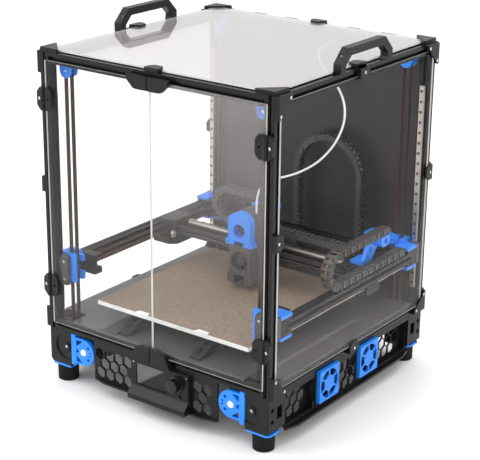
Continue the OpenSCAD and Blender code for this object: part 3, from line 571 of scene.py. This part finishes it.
def glaze(node, thin_axis):
    """Clear faces and cut edges; the cut edges carry painted light, bright with a painted glow at
    the sides and a grey painted shade at the head and foot.
    thin_axis gives a face's thin direction and the finish of the sheet that it is on."""
    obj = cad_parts[node]
    obj.data.materials.clear()
    finishes = ["acrylic_edge_painted_glow", "acrylic_rim_painted_shade"]
    for face in obj.data.polygons:
        axis, finish = thin_axis(face.center)
        if finish not in finishes:
            finishes.append(finish)
        through = abs(face.normal[axis]) > 0.9
        # painted light: edges facing up or down take the grey painted shade, the others the
        # bright painted glow
        edge = 1 if abs(face.normal.z) > 0.9 else 0
        face.material_index = finishes.index(finish) if through else edge
    for finish in finishes:
        obj.data.materials.append(FINISH[finish])


top_of_frame = frame_high.z
glaze("left_door_panel", lambda c: (1, "acrylic_clear"))
glaze("right_door_panel", lambda c: (1, "acrylic_hazed"))
glaze("clear_panels", lambda c: (2, "acrylic_top") if c.z > top_of_frame else
      (0, "acrylic_side" if c.x > 0 else "acrylic_clear"))



def blacken_joint_cores():
    """The core of a lift joint, between its two coloured plates, is black."""
    core_low, core_high = 103, 136
    outer_x, inner_x, inner_y = 235, 225.5, 205
    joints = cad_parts["z_joints"].data
    joints.materials.append(FINISH["black_print"])
    for face in joints.polygons:
        spot = (face.center - ORIGIN) / MM
        x, y = abs(spot.x), abs(spot.y)
        core = core_low < spot.z < core_high and (x > outer_x or (x > inner_x and y < inner_y))
        if core and abs(face.normal.z) < 0.5:
            face.material_index = 1


blacken_joint_cores()

# ---- screws, bolts and nuts ----


def hexagon(apothem, angle):
    """Distance to a hexagon's side at an angle from its middle."""
    return apothem / math.cos((angle + math.pi / 6) % (math.pi / 3) - math.pi / 6)


def socket_head(piece, at, axis, radius, height, finish="bright_steel"):
    """A domed screw head; its hexagonal socket is a flat near-black hexagon of painted shade on
    the dome.
    """
    dome = [(radius, 0), (radius, height * 0.25)]
    dome += [(radius * math.cos(a), height * (0.25 + 0.75 * math.sin(a)))
             for a in (0.35, 0.7, 1.0)]
    dome.append((radius * 0.5, height))
    piece.turned(dome, at, axis, finish)
    # painted shade: the socket is a thin near-black hexagon on the dome, not a recess
    rim = Vector(at) + Vector(axis) * (height + 0.01)
    piece.turned([(radius * 0.42, 0), (radius * 0.42, 0.02)], rim, axis, "hole_dark",
                 24, hexagon)


def add_fasteners():
    """A socket head in place of each flat disc, and the bed's thumb nuts."""
    piece, nut_size = Piece(), 12
    for low, high in islands("fasteners"):
        size, centre = high - low, (low + high) / 2
        axis = min(range(3), key=lambda i: size[i])
        if size.z > 6 and abs(size.x - nut_size) < 0.5:
            nut = lambda r, a: r + 0.5 * math.cos(14 * a)
            piece.turned([(5.2, 0), (5.5, 0.5), (5.5, 6.3), (5.2, 7)],
                         (centre.x, centre.y, low.z), Z, "bright_steel", 56, nut)
            continue
        direction = Vector((0, 0, 0))
        direction[axis] = 1 if axis == 2 or centre[axis] > 0 else -1
        start = centre - direction * size[axis] / 2
        socket_head(piece, start, direction, max(size) / 2, size[axis])
    piece.build("fastener_heads", "chassis", "bright_steel", ["fasteners"])


add_fasteners()

# ---- guide rails ----

RAIL_W, RAIL_H, RAIL_PITCH = 9.0, 6.5, 20.0
BORE_R, BORE_DEPTH = 3, 3.3
POST_X, POST_Y = 245, 235


def guide_rail(piece, start, along, up, length):
    """A guide rail from a point, with a counterbored hole every 20 mm in its top."""
    start, along, up = Vector(start), Vector(along), Vector(up)
    across = along.cross(up)
    half, groove = RAIL_W / 2, 0.9
    side = [(half, RAIL_H), (half, 5.2), (half - groove, 4.2), (half - groove, 3.2),
            (half, 2.2), (half, 0)]
    outline = side + [(-a, h) for a, h in reversed(side)]
    point = lambda s, a, h: start + along * s + across * a + up * h
    ends = [[point(s, a, h) for a, h in outline] for s in (0, length)]
    n = len(outline)
    piece.add(ends[0] + ends[1],
              [[i, i + 1, n + i + 1, n + i] for i in range(n - 1)]
              + [list(range(n)), list(range(2 * n - 1, n - 1, -1))], "rail_steel")
    cells = int(length // RAIL_PITCH)
    margin = (length - cells * RAIL_PITCH) / 2
    corner = math.degrees(math.atan2(half, RAIL_PITCH / 2))
    turns = [math.radians(a) for a in sorted((*range(0, 360, 30), corner, 180 - corner,
                                              180 + corner, 360 - corner))]
    for k in range(cells):
        middle = margin + (k + 0.5) * RAIL_PITCH
        before = margin if k == 0 else 0
        after = margin if k == cells - 1 else 0
        rim, edge, floor = [], [], []
        for a in turns:
            c, s = math.cos(a), math.sin(a)
            reach = min((RAIL_PITCH / 2) / max(abs(c), 1e-6), half / max(abs(s), 1e-6))
            x = c * reach
            if x > RAIL_PITCH / 2 - 1e-4:
                x += after
            if x < -RAIL_PITCH / 2 + 1e-4:
                x -= before
            edge.append(point(middle + x, s * reach, RAIL_H))
            rim.append(point(middle + BORE_R * c, BORE_R * s, RAIL_H))
            floor.append(point(middle + BORE_R * c, BORE_R * s, RAIL_H - BORE_DEPTH))
        piece.rings([edge, rim], "rail_steel", (False, False))
        # painted shade: the counterbore's wall and floor are near-black
        piece.rings([rim, floor], "hole_dark", (False, True))
        piece.turned([(2.6, 0), (2.6, 1.8), (2.2, 2.2)],
                     point(middle, 0, RAIL_H - BORE_DEPTH), up, "dark_steel", 12)


def add_rails():
    piece = Piece()
    for sx, sy in CORNERS:
        guide_rail(piece, (sx * POST_X, sy * POST_Y, 50), Z, -sy * Y, 400)
    piece.build("z_rails_drilled", "chassis", "rail_steel", ["z_rails"])
    piece = Piece()
    beam_underside = extent("gantry_rails")[1].z
    for sx in (-1, 1):
        guide_rail(piece, (sx * POST_X, -190, beam_underside), Y, -Z, 380)
    piece.build("gantry_rails_drilled", "gantry", "rail_steel", ["gantry_rails"])
    piece = Piece()
    low, high = extent("cross_beam")
    middle = (low.y + high.y) / 2
    guide_rail(piece, (-185, middle, high.z), X, Z, 370)
    guide_rail(piece, (-185, middle, low.z), X, -Z, 370)
    for x in (-205, 205):
        add_idler(piece, (x, middle - 25.5, 103), 14)
    piece.build("cross_rails_drilled", "cross_slide", "rail_steel", ["cross_rails"])


def add_idler(piece, at, height):
    """Two flanged bearings on a post, seen as bright rings."""
    half = height / 2
    for z in (0, half):
        piece.turned([(7.6, z + 0.1), (7.6, z + 0.9), (6.3, z + 1.3), (6.3, z + half - 1.3),
                      (7.6, z + half - 0.9), (7.6, z + half - 0.1)], at, Z, "bright_steel", 28)
    piece.turned([(2.5, 0), (2.5, height)], at, Z, "dark_steel", 16)


add_rails()

# ---- belts ----

TOOTH = 2.0
LIFT_X, LIFT_Y = 216, 224
IDLER_Z, DRIVE_Z = 495, -33
MOTOR_X, DRIVE_BELT_Y = 172, 240.5


def toothed_run(piece, start, end, width_axis, width, teeth_side):
    """A straight belt run: a thin back and a tooth every 2 mm on one side."""
    start, end = Vector(start), Vector(end)
    along = (end - start).normalized()
    length = (end - start).length
    inward = Vector(teeth_side)
    middle = (start + end) / 2
    for at, thick, finish in ((0.5, 0.38, "belt_black"), (0.14, 0.38, "belt_brown")):
        piece.bar(middle - inward * at, (along, width_axis, inward), (length, width, thick),
                  finish)
    for k in range(int(length // TOOTH)):
        at = start + along * (k + 0.5) * TOOTH + inward * 0.34
        piece.bar(at, (along, width_axis, inward), (1.0, width, 0.66), "belt_brown")


def add_gantry_belts():
    for node, body in (("gantry_belts", "gantry"), ("cross_belts", "cross_slide")):
        piece = Piece()
        for low, high in islands(node):
            c = (low + high) / 2
            teeth = Y if body == "cross_slide" else -X if c.x > 0 else X
            along = Y if teeth.x else X
            reach = along * (high - low).dot(along) / 2
            toothed_run(piece, c - reach, c + reach, Z, high.z - low.z, teeth)
        piece.build(node + "_toothed", body, "belt_brown", [node])


def wrap(centre, radius, side, first, last, steps):
    """Points and outward directions of a belt round a pulley whose axis is along Y."""
    found = []
    for i in range(steps + 1):
        a = first + (last - first) * i / steps
        out = Vector((side * math.cos(a), 0, math.sin(a)))
        found.append((Vector(centre) + out * radius, out))
    return found


def closed_belt(piece, stations, width, thick):
    """A belt's back, swept through (point, outward) stations and back to the first."""
    rings = [[p + out * thick / 2 * a + Y * width / 2 * b
              for a, b in ((-1, -1), (1, -1), (1, 1), (-1, 1))] for p, out in stations]
    piece.rings(rings + rings[:1], "belt_black", (False, False))


def add_lift_belts():
    """The upright belts, with teeth on their runs, and the short ones that drive them."""
    piece = Piece()
    radius, width, tooth = 7.2, 9.0, 0.7
    small, big = 7.0, 25.8
    lean = math.acos((big - small) / (LIFT_X - MOTOR_X))
    for sx, sy in CORNERS:
        x, y = sx * LIFT_X, sy * LIFT_Y
        closed_belt(piece, wrap((x, y, IDLER_Z), radius, 1, 0, math.pi, 16)
                    + wrap((x, y, DRIVE_Z), radius, 1, math.pi, 2 * math.pi, 16), width, 0.7)
        for side in (-1, 1):
            run = x + side * 6.8
            piece.block((run - 0.15, y - width / 2, DRIVE_Z + 3),
                        (run + 0.15, y + width / 2, IDLER_Z - 3), "belt_brown")
            for k in range(int(520 / TOOTH)):
                at = (x + side * (radius - tooth), y, DRIVE_Z + 4 + k * TOOTH)
                piece.bar(at, (Z, Y, X), (1.0, width, tooth), "belt_brown")
        y = sy * DRIVE_BELT_Y
        closed_belt(piece, wrap((x, y, DRIVE_Z), big, -sx, lean, 2 * math.pi - lean, 28)
                    + wrap((sx * MOTOR_X, y, DRIVE_Z), small, -sx, -lean, lean, 12), 6, 1.2)
    piece.build("z_belts_toothed", "chassis", "belt_brown", ["z_belts"])


add_gantry_belts()
add_lift_belts()

# ---- cable chains ----

CHAIN_H, CHAIN_W, LINK = 14.0, 20.0, 11.0
CHAIN_WIRES = ("red", "yellow", "blue", "green", "black", "white")


def chain_links(name, stations, across):
    """Links at (point, direction) stations. across is the direction of the width."""
    piece = Piece()
    stations = [(Vector(at), Vector(along).normalized()) for at, along in stations]
    angles = [math.radians(d) for d in (20, 50, 90, 130, 160, 200, 230, 270, 310, 340)]
    plate = [(LINK * 0.62 * math.cos(a), CHAIN_H * 0.49 * math.sin(a)) for a in angles]
    for k, (at, along) in enumerate(stations):
        up = across.cross(along)
        inset = 0.0 if k % 2 else 1.5
        for side in (-1, 1):
            wall = at + across * side * (CHAIN_W / 2 - 0.9 - inset)
            piece.prism(plate, wall - across * 0.8, along, up, -1.6, "chain_black")
            pin = at + along * LINK / 2 + across * side * (CHAIN_W / 2 - 1.0)
            piece.turned([(2.4, 0), (2.4, 0.7), (1.8, 1.0)], pin, across * side,
                         "chain_black", 10)
            bridge = at + up * side * (CHAIN_H / 2 - 0.8)
            piece.bar(bridge, (along, across, up), (LINK * 0.55, CHAIN_W - 2.4, 1.5),
                      "chain_black")
    for i, wire in enumerate(CHAIN_WIRES):
        path = []
        for at, along in stations:
            lane = (i - 2.5) * 2.3
            sway = math.sin(i * 1.9 + 0.02 * (at.x + at.y + at.z))
            path.append(at + across * lane + across.cross(along) * (1.5 * sway))
        piece.tube(path, 1.0, "wire_" + wire, 6)
    return piece.build(name, None, "chain_black")


def straight(start, end):
    """Stations along a straight run, from start towards end."""
    start, end = Vector(start), Vector(end)
    length = (end - start).length
    along = (end - start) / length
    count = max(2, round(length / LINK))
    step = length / count
    return [(start + along * step * (i + 0.5), along) for i in range(count)]


def around(centre, radius, first, last, u, v):
    """Stations round an arc between two angles in the plane of u and v."""
    centre, u, v = Vector(centre), Vector(u), Vector(v)
    turn = last - first
    count = max(3, round(abs(turn) * radius / LINK))
    found = []
    for i in range(count):
        a = first + turn * (i + 0.5) / count
        direction = (u * -math.sin(a) + v * math.cos(a)) * (1 if turn > 0 else -1)
        found.append((centre + (u * math.cos(a) + v * math.sin(a)) * radius, direction))
    return found


def share_chain(name, runs, fixed_end, bend, moving_end, across):
    """Three lengths of one chain, each built in place: the fixed run, the bend and the moving
    run."""
    spans = (
        (fixed_end, fixed_end + 2 * (bend - fixed_end)),
        (bend - across * 2000, bend + across * 2000),
        (moving_end - 2 * (moving_end - bend), moving_end),
    )
    for part, stations, (start, end) in zip(("fixed_run", "bend", "moving_run"), runs, spans):
        obj = chain_links(f"{name}_{part}", stations, across)
        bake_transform(obj)
        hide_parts(name)


def add_flat_chain(name, along, across, moving_end):
    """A chain that lies along a beam and rolls back over itself at its low end."""
    low, high = extent(name)
    middle, radius, quarter = (low + high) / 2, 30, math.pi / 2
    at = lambda s, up: along * s + across * middle.dot(across) + Z * (middle.z + up)
    bend, fixed_end = low.dot(along) + 37, high.dot(along)
    runs = (straight(at(fixed_end, -radius), at(bend, -radius)),
            around(at(bend, 0), radius, -quarter, -3 * quarter, along, Z),
            straight(at(bend, radius), at(moving_end, radius)))
    share_chain(name, runs, at(fixed_end, -radius), at(bend, -radius),
                at(moving_end, 0), across)


def add_chains():
    add_flat_chain("x_chain", X, Y, 18)
    add_flat_chain("y_chain", Y, X, 124)
    low, high = extent("z_chain")
    y, left, right, joint_z = (low.y + high.y) / 2, low.x + 7, high.x - 7, 114
    radius = (right - left) / 2
    top = high.z - radius - 7
    foot, turn, end = (Vector(p) for p in ((left, y, low.z), (left, y, top),
                                           (right, y, joint_z)))
    runs = (straight(foot, turn), around(((left + right) / 2, y, top), radius, math.pi, 0, X, Z),
            straight((right, y, top), end))
    share_chain("z_chain", runs, foot, turn, end, Y)


add_chains()

# ---- filament tube ----

TUBE_D = 4.0
TUBE_ROUTE = [
    (19, 26, 192), (19, 26, 212), (21, 25, 238), (32, 22, 264), (56, 18, 284),
    (92, 14, 298), (130, 8, 317), (170, 4, 345), (206, -4, 384), (230, -14, 426),
    (238, -24, 462), (228, -26, 490), (196, -6, 504), (150, 40, 508), (100, 100, 508),
    (60, 165, 505), (38, 220, 501), (36, 262, 500),
]


def smooth(route, steps):
    """A smooth curve through a route's points."""
    points = [Vector(p) for p in route]
    last = len(points) - 1
    found = []
    for i in range(last):
        a, b = points[max(i - 1, 0)], points[i]
        c, d = points[i + 1], points[min(i + 2, last)]
        for s in range(steps):
            t = s / steps
            found.append(0.5 * (2 * b + (c - a) * t + (2 * a - 5 * b + 4 * c - d) * t ** 2
                                + (3 * b - a - 3 * c + d) * t ** 3))
    return found + [points[last]]


def add_tube():
    """Three lengths of the tube end to end, cut where its route passes 225 mm and 255 mm high."""
    line = smooth(TUBE_ROUTE, 12)
    first = next(i for i, p in enumerate(line) if p.z > 225)
    second = next(i for i, p in enumerate(line) if p.z > 255)
    lengths = (
        ("filament_tube_head", line[:first + 1], "toolhead", "cross_slide", 205, 225),
        ("filament_tube_middle", line[first:second + 1], "cross_slide", "gantry", 225, 255),
        ("filament_tube_upper", line[second:], "gantry", "chassis", 255, 490),
    )
    for name, path, a, b, low, high in lengths:
        piece = Piece()
        piece.tube(path, TUBE_D / 2, "tube_white", 14)
        obj = piece.build(name, None, "tube_white")
        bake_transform(obj)
        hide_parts("filament_tube")


add_tube()

# ---- motors, wheels and feet ----


MOTOR_HALF, MOTOR_SCREW = 21, 15.5


def octagon(half, cut):
    return [(-half, cut - half), (cut - half, -half), (half - cut, -half),
            (half, cut - half), (half, half - cut), (half - cut, half),
            (cut - half, half), (-half, half - cut)]


def stepper(piece, face, axis, body):
    """A square motor: black caps on a stack of steel plates, with four long screws."""
    axis, face = Vector(axis), Vector(face)
    u, v = frame_of(axis)
    sections = ((0, MOTOR_HALF - 0.6, 4.4), (0.6, MOTOR_HALF, 4), (9, MOTOR_HALF, 4),
                (9, MOTOR_HALF - 0.4, 5.5), (body - 12, MOTOR_HALF - 0.4, 5.5),
                (body - 12, MOTOR_HALF, 4), (body - 2.2, MOTOR_HALF, 4),
                (body - 1.6, MOTOR_HALF - 0.6, 4.4))
    rings = [[face - axis * depth + u * a + v * b for a, b in octagon(half, cut)]
             for depth, half, cut in sections]
    piece.rings(rings[:3], "motor_black")
    piece.rings(rings[3:5], "motor_steel")
    piece.rings(rings[5:], "motor_black")
    for sa, sb in CORNERS:
        at = face - axis * (body - 1.6) + (u * sa + v * sb) * MOTOR_SCREW
        socket_head(piece, at, -axis, 2.6, 1.5)


def add_motors():
    piece = Piece()
    for low, high in islands("z_motors"):
        c = (low + high) / 2
        outward = 1 if c.y > 0 else -1
        stepper(piece, (c.x, high.y if outward > 0 else low.y, c.z), Y * outward,
                high.y - low.y)
    piece.build("lift_motors", "chassis", "motor_black", ["z_motors"])
    piece = Piece()
    for low, high in islands("ab_motors"):
        c = (low + high) / 2
        stepper(piece, (c.x, c.y, high.z), Z, high.z - low.z)
    piece.build("belt_motors", "gantry", "motor_black", ["ab_motors"])


def fan_wheel(piece, centre, axis, hub, tip, depth, blades):
    """A moulded wheel: a cupped hub with a label, and swept, pitched blades."""
    axis, centre = Vector(axis), Vector(centre)
    u, v = frame_of(axis)
    half = depth / 2
    piece.turned([(hub - 2, -half), (hub - 1, -half), (hub, 0.8 - half), (hub, half - 1),
                  (hub - 1, half), (hub - 2, half)], centre, axis, "fan_black", 32)
    piece.turned([(hub * 0.62, half), (hub * 0.62, half + 0.05)], centre, axis,
                 "fan_grey", 24)
    for k in range(blades):
        rings = []
        for s in range(6):
            r = hub - 0.6 + (tip - hub + 0.6) * s / 5
            a = 2 * math.pi * k / blades + 0.5 * s / 5
            out = u * math.cos(a) + v * math.sin(a)
            sweep = u * -math.sin(a) + v * math.cos(a)
            chord = (axis * 0.8 + sweep * (0.75 + 0.1 * s)).normalized()
            width = half * (0.95 + 0.1 * math.sin(math.pi * s / 5))
            face = out.cross(chord)
            p = centre + out * r
            rings.append([p - chord * width - face * 0.4, p - face * 0.5,
                          p + chord * width - face * 0.3, p + chord * width + face * 0.3,
                          p + face * 0.5, p - chord * width + face * 0.4])
        piece.rings(rings, "fan_grey")


def add_fans():
    for node, body in (("bay_rotor_front", "bay_wheel_front"),
                       ("bay_rotor_rear", "bay_wheel_rear")):
        low, high = extent(node)
        c = (low + high) / 2
        piece = Piece()
        fan_wheel(piece, (241, c.y, c.z), X, 12, 25.6, 13, 9)
        piece.turned([(1.9, 0), (1.9, 5)], (231.3, c.y, c.z), X, "dark_steel", 16)
        piece.build(node + "_wheel", body, "fan_black", [node])
    low, high = extent("hotend_rotor")
    piece = Piece()
    fan_wheel(piece, (low + high) / 2, -Y, 9.5, 17.6, high.y - low.y - 0.6, 9)
    piece.build("hotend_fan_wheel", "hotend_wheel", "fan_black", ["hotend_rotor"])


def add_pulleys():
    """Toothed pulleys, their shafts and idlers at the four corners."""
    piece = Piece()
    teeth = lambda count, deep: lambda r, a: r + deep * math.cos(count * a)
    low, top, motor = (LIFT_X, DRIVE_Z), (LIFT_X, IDLER_Z), (MOTOR_X, DRIVE_Z)
    flange = [(18.5, 0), (19.9, 0.3), (19.9, 1.2), (18.5, 1.5)]
    spindle = [(4.2, 0), (4.4, 0.6), (4.4, 22.6), (3.8, 23.4)]
    hub = [(6.3, 0), (6.7, 0.4), (6.7, 5), (6.2, 5.6), (3.4, 5.6), (2.9, 5)]
    parts = (
        (low, 217.5, flange, "white_pulley", 40), (low, 228.9, flange, "white_pulley", 40),
        (low, 219.1, [(5.9, 0), (5.9, 9.8)], "bed_aluminium", 80, teeth(20, 0.35)),
        (low, 207.7, [(2.4, 0), (2.4, 44)], "rail_steel", 20),
        (low, 236.5, [(24.4, 0), (24.4, 8)], "white_pulley", 320, teeth(80, 0.35)),
        (top, 219.1, [(5.9, 0), (5.9, 9.8)], "bright_steel", 32),
        (top, 214.1, [(2.4, 0), (2.4, 19.8)], "bright_steel", 20),
        (motor, 232.2, spindle, "white_pulley", 28),
        (motor, 236.6, [(5.6, 0), (5.6, 7.8)], "white_pulley", 80, teeth(16, 0.4)),
        (motor, 250, hub, "white_pulley", 32),
        # painted shade: a dark disc stands for the hub's bore
        (motor, 255.05, [(2.4, 0), (2.4, 0.2)], "hole_dark", 6),
    )
    for sx, sy in CORNERS:
        for (x, z), y, profile, *rest in parts:
            piece.turned(profile, (x * sx, y * sy, z), Y * sy, *rest)
    piece.build("lift_pulleys", "chassis", "white_pulley", ["z_pulleys"])


def add_feet():
    piece = Piece()
    for low, high in islands("feet"):
        radius, tall, c = (high.x - low.x) / 2, high.z - low.z, (low + high) / 2
        profile = [(radius - 1.6, 0), (radius - 0.4, 1), (radius - 0.4, tall * 0.2),
                   (radius - 1.2, tall * 0.22), (radius - 1.2, tall * 0.27),
                   (radius - 0.4, tall * 0.29), (radius - 0.1, tall * 0.9),
                   (radius - 0.6, tall)]
        piece.turned(profile, (c.x, c.y, low.z), Z, "foot_rubber", 48)
    piece.build("rubber_feet", "chassis", "foot_rubber", ["feet"])


def add_joint_blocks():
    """The clamp that holds the lift belt's ends, bolted on each lift joint's face."""
    piece, mid_x, mid_z = Piece(), 223.8, 117.5
    outline = [(214, 92), (217, 88), (230, 88), (233.5, 92), (233.5, 140), (229, 147),
               (218, 147), (214, 142)]
    for sx, sy in CORNERS:
        u, out = X * sx, Y * sy
        piece.rings([[u * (mid_x + (a - mid_x) * (1 - inset / 12)) + out * y
                      + Z * (mid_z + (b - mid_z) * (1 - inset / 30)) for a, b in outline]
                     for inset, y in ((0.0, 236.2), (0.0, 244), (1.2, 246))], "grey_print")
        for z in (100, 134):
            socket_head(piece, u * mid_x + out * 245.9 + Z * z, out, 2.9, 1.8)
    piece.build("belt_clamps", "gantry", "grey_print", bevel=0.4)


add_joint_blocks()
add_motors()
add_fans()
add_pulleys()
add_feet()

# ---- display and knob ----


def add_display_parts():
    low, high = extent("display_knob")
    x, z = (low.x + high.x) / 2, (low.z + high.z) / 2
    piece = Piece()
    knurl = lambda r, a: r + 0.35 * math.cos(28 * a)
    for y, profile, *rest in (
            (low.y, [(11, 0.4), (12.2, 1.6), (12.2, 14)], 168, knurl),
            (low.y, [(9.6, 0), (11.4, 0.6), (11.4, 1)], 48),
            (-268, [(12, 0), (14.6, 0.8), (14.8, 2.4)], 48), (-265.5, [(4.4, 0), (4.4, 13)], 24)):
        piece.turned(profile, (x, y, z), Y, "knob_black", *rest)
    piece.build("menu_knob_grip", "menu_knob", "knob_black", ["display_knob"])
    piece = Piece()
    low, high = extent("display_case")
    middle = (low.x + high.x) / 2
    for dx in (-60, 61):
        for z in (-8, -58):
            piece.turned([(1.4, 0), (1.5, 0.4), (1.5, 2)], (middle + dx, -264.2, z), Y,
                         "bright_steel", 16)
    piece.build("display_screws", "chassis", "bright_steel")


def add_inlet_pins():
    piece = Piece()
    for x, z in ((-99, -42), (-106, -34), (-92, -34)):
        piece.block((x - 0.9, 239, z - 2.6), (x + 0.9, 254, z + 2.6), "bright_steel")
    piece.build("inlet_pins", "chassis", "bright_steel")


def add_bay_parts():
    """Terminals, coils and blocks on the boards under the deck."""
    piece = Piece()
    pick = random.Random(7)
    for low, high in islands("electronics_modules"):
        if high.z > 9 or high.z - low.z < 20:
            continue
        count = int((high.x - low.x) * (high.y - low.y) / 1400)
        for _ in range(count):
            x = pick.uniform(low.x + 8, high.x - 8)
            y = pick.uniform(low.y + 8, high.y - 8)
            if pick.random() < 0.4:
                piece.turned([(3, 0), (3.2, 0.4), (3.2, 2.6)], (x, y, low.z), -Z,
                             pick.choice(("bright_steel", "fan_black")), 16)
            else:
                w, d = pick.uniform(3, 7), pick.uniform(3, 7)
                piece.block((x - w, y - d, low.z - 2.4), (x + w, y + d, low.z),
                            pick.choice(("board_green", "fan_black", "white_pulley")))
    piece.build("bay_components", "chassis", "module_metal")


def add_handle_bolts():
    """A bolt sunk in the bore of each sloping shoulder of the two handles."""
    piece, inward, bore_y, bore_down, bore_depth = Piece(), 9, 70.5, 12.5, 3.95
    for low, high in islands("handles"):
        x = high.x - inward if low.x > 0 else low.x + inward
        middle = (low.y + high.y) / 2
        for side in (-1, 1):
            axis = Vector((0, side, 1)).normalized()
            shoulder = Vector((x, middle + side * bore_y, high.z - bore_down))
            socket_head(piece, shoulder - axis * bore_depth, axis, 3.2, 2.6)
    piece.build("handle_bolts", "chassis", "bright_steel")


add_handle_bolts()
add_display_parts()
add_inlet_pins()
add_bay_parts()

# ---- toolhead details ----


def add_toolhead_parts():
    """The extruder's gear and plug, its wires, and screws and a spider on the cowl."""
    low, high = extent("extruder")
    x, side = (low.x + high.x) / 2, high.x
    piece = Piece()
    teeth = lambda r, a: r + 0.5 * math.cos(36 * a)
    gear = (x, 10.9, 178)
    piece.turned([(12.2, 0), (12.2, 1.2)], gear, -Y, "fan_grey", 144, teeth)
    piece.turned([(4.2, 1.2), (4.2, 1.9), (3.6, 2.2)], gear, -Y, "fan_black", 24)
    for s in (-1, 1):
        socket_head(piece, (x + s * 26, -7.6, 152.5), -Y, 1.9, 0.3, "dark_steel")
        piece.turned([(1.8, 0), (1.8, 0.4)], (x + s * 12.6, 30, 204), Z, "dark_steel", 14)
        piece.turned([(2, 0), (2.4, 0.3), (2.4, 1.2)], (x + s * 17, -3.2, 99), -Y,
                     "bright_steel", 16)
    piece.block((side + 0.1, 30, 172), (side + 5, 41, 179), "white_pulley")
    piece.block((side + 0.1, 26.5, 172.5), (side + 4.5, 29.8, 178.5), "wire_red")
    for i, wire in enumerate(("red", "yellow", "green", "blue")):
        lane = i * 1.7
        route = smooth([(side + 3, 41, 173.5 + lane), (side + 6, 47, 176 + lane),
                        (side + 9 + lane, 54, 186 + lane), (side + 7, 60, 197 + lane),
                        (side, 64, 204 + lane), (side - 8, 66, 213 + lane)], 6)
        piece.tube(route, 0.75, "wire_" + wire, 8)
    piece.turned([(1.1, 0), (1.1, 0.6), (0.6, 1.0)], (x + 14, -4.6, 88), -Y, "wire_red", 12)
    for k in range(4):
        a = math.pi / 4 + k * math.pi / 2
        out = X * math.cos(a) + Z * math.sin(a)
        piece.bar(Vector((x, 6.2, 116)) + out * 13, (out, out.cross(Y), Y), (13, 2, 1),
                  "fan_black")
    piece.build("toolhead_parts", "toolhead", "dark_steel")


def add_hotend():
    """Heatsink fins, throat, heater block with its sock, and nozzle."""
    low, high = extent("hotend")
    x, y = (low.x + high.x) / 2, (low.y + high.y) / 2
    piece = Piece()
    piece.turned([(0.5, 62), (0.7, 62), (3.3, 65.2), (3.3, 68.2)], (x, y, 0), Z,
                 "hotend_brass", 6)
    piece.block((x - 9.8, y - 7.8, 68), (x + 9.8, y + 7.8, 79.8), "foot_rubber")
    piece.turned([(2.3, 79.8), (2.3, 95)], (x, y, 0), Z, "bright_steel", 16)
    profile = [(9.4, 95.2)]
    for k in range(11):
        z = 95.2 + k * 3.1
        profile += [(9.4, z), (9.4, z + 1.2), (4.5, z + 1.2), (4.5, z + 3.1)]
    profile += [(9.4, 129.3), (9.4, 129.9)]
    piece.turned(profile, (x, y, 0), Z, "bed_aluminium", 32)
    piece.build("hotend_finned", "toolhead", "hotend_brass", ["hotend"])


add_toolhead_parts()
add_hotend()

# ---- floor and light ----


def add_floor():
    mesh = bpy.data.meshes.new("floor")
    half = 14.0
    mesh.from_pydata([(-half, -half, 0), (half, -half, 0), (half, half, 0), (-half, half, 0)],
                     [], [(0, 1, 2, 3)])
    mesh.materials.append(plain("floor_white", (0.87, 0.865, 0.855), 0.6, dict(
        specular=0.3, patch=0.01, grain=30, bump=0.02)))
    floor = bpy.data.objects.new("floor", mesh)
    bpy.context.scene.collection.objects.link(floor)


def add_light(name, at, size, power, aim=(0, 0, 0.3)):
    data = bpy.data.lights.new(name, "AREA")
    data.shape = "DISK"
    data.size = size
    data.energy = power
    light = bpy.data.objects.new(name, data)
    light.location = at
    towards = Vector(aim) - Vector(at)
    light.rotation_euler = towards.to_track_quat("-Z", "Y").to_euler()
    bpy.context.scene.collection.objects.link(light)


def light_studio():
    world = bpy.data.worlds.new("studio")
    bpy.context.scene.world = world
    world.use_nodes = True
    tree = world.node_tree
    back = tree.nodes["Background"]
    split = tree.nodes.new("ShaderNodeSeparateXYZ")
    direction = tree.nodes.new("ShaderNodeTexCoord").outputs["Generated"]
    tree.links.new(direction, split.inputs["Vector"])
    strength = map_range(tree, split.outputs["Z"], (-0.2, 1.0, 0.75, 0.95))
    tree.links.new(strength, back.inputs["Strength"])
    back.inputs["Color"].default_value = (1.0, 0.99, 0.975, 1)
    add_light("key", (-2.6, -2.8, 3.6), 4.4, 150)
    add_light("fill", (3.4, -1.4, 2.4), 4.0, 40)
    add_light("over", (0.2, 1.0, 3.6), 4.4, 90)
    bpy.context.scene.view_settings.view_transform = "Standard"


add_floor()
light_studio()
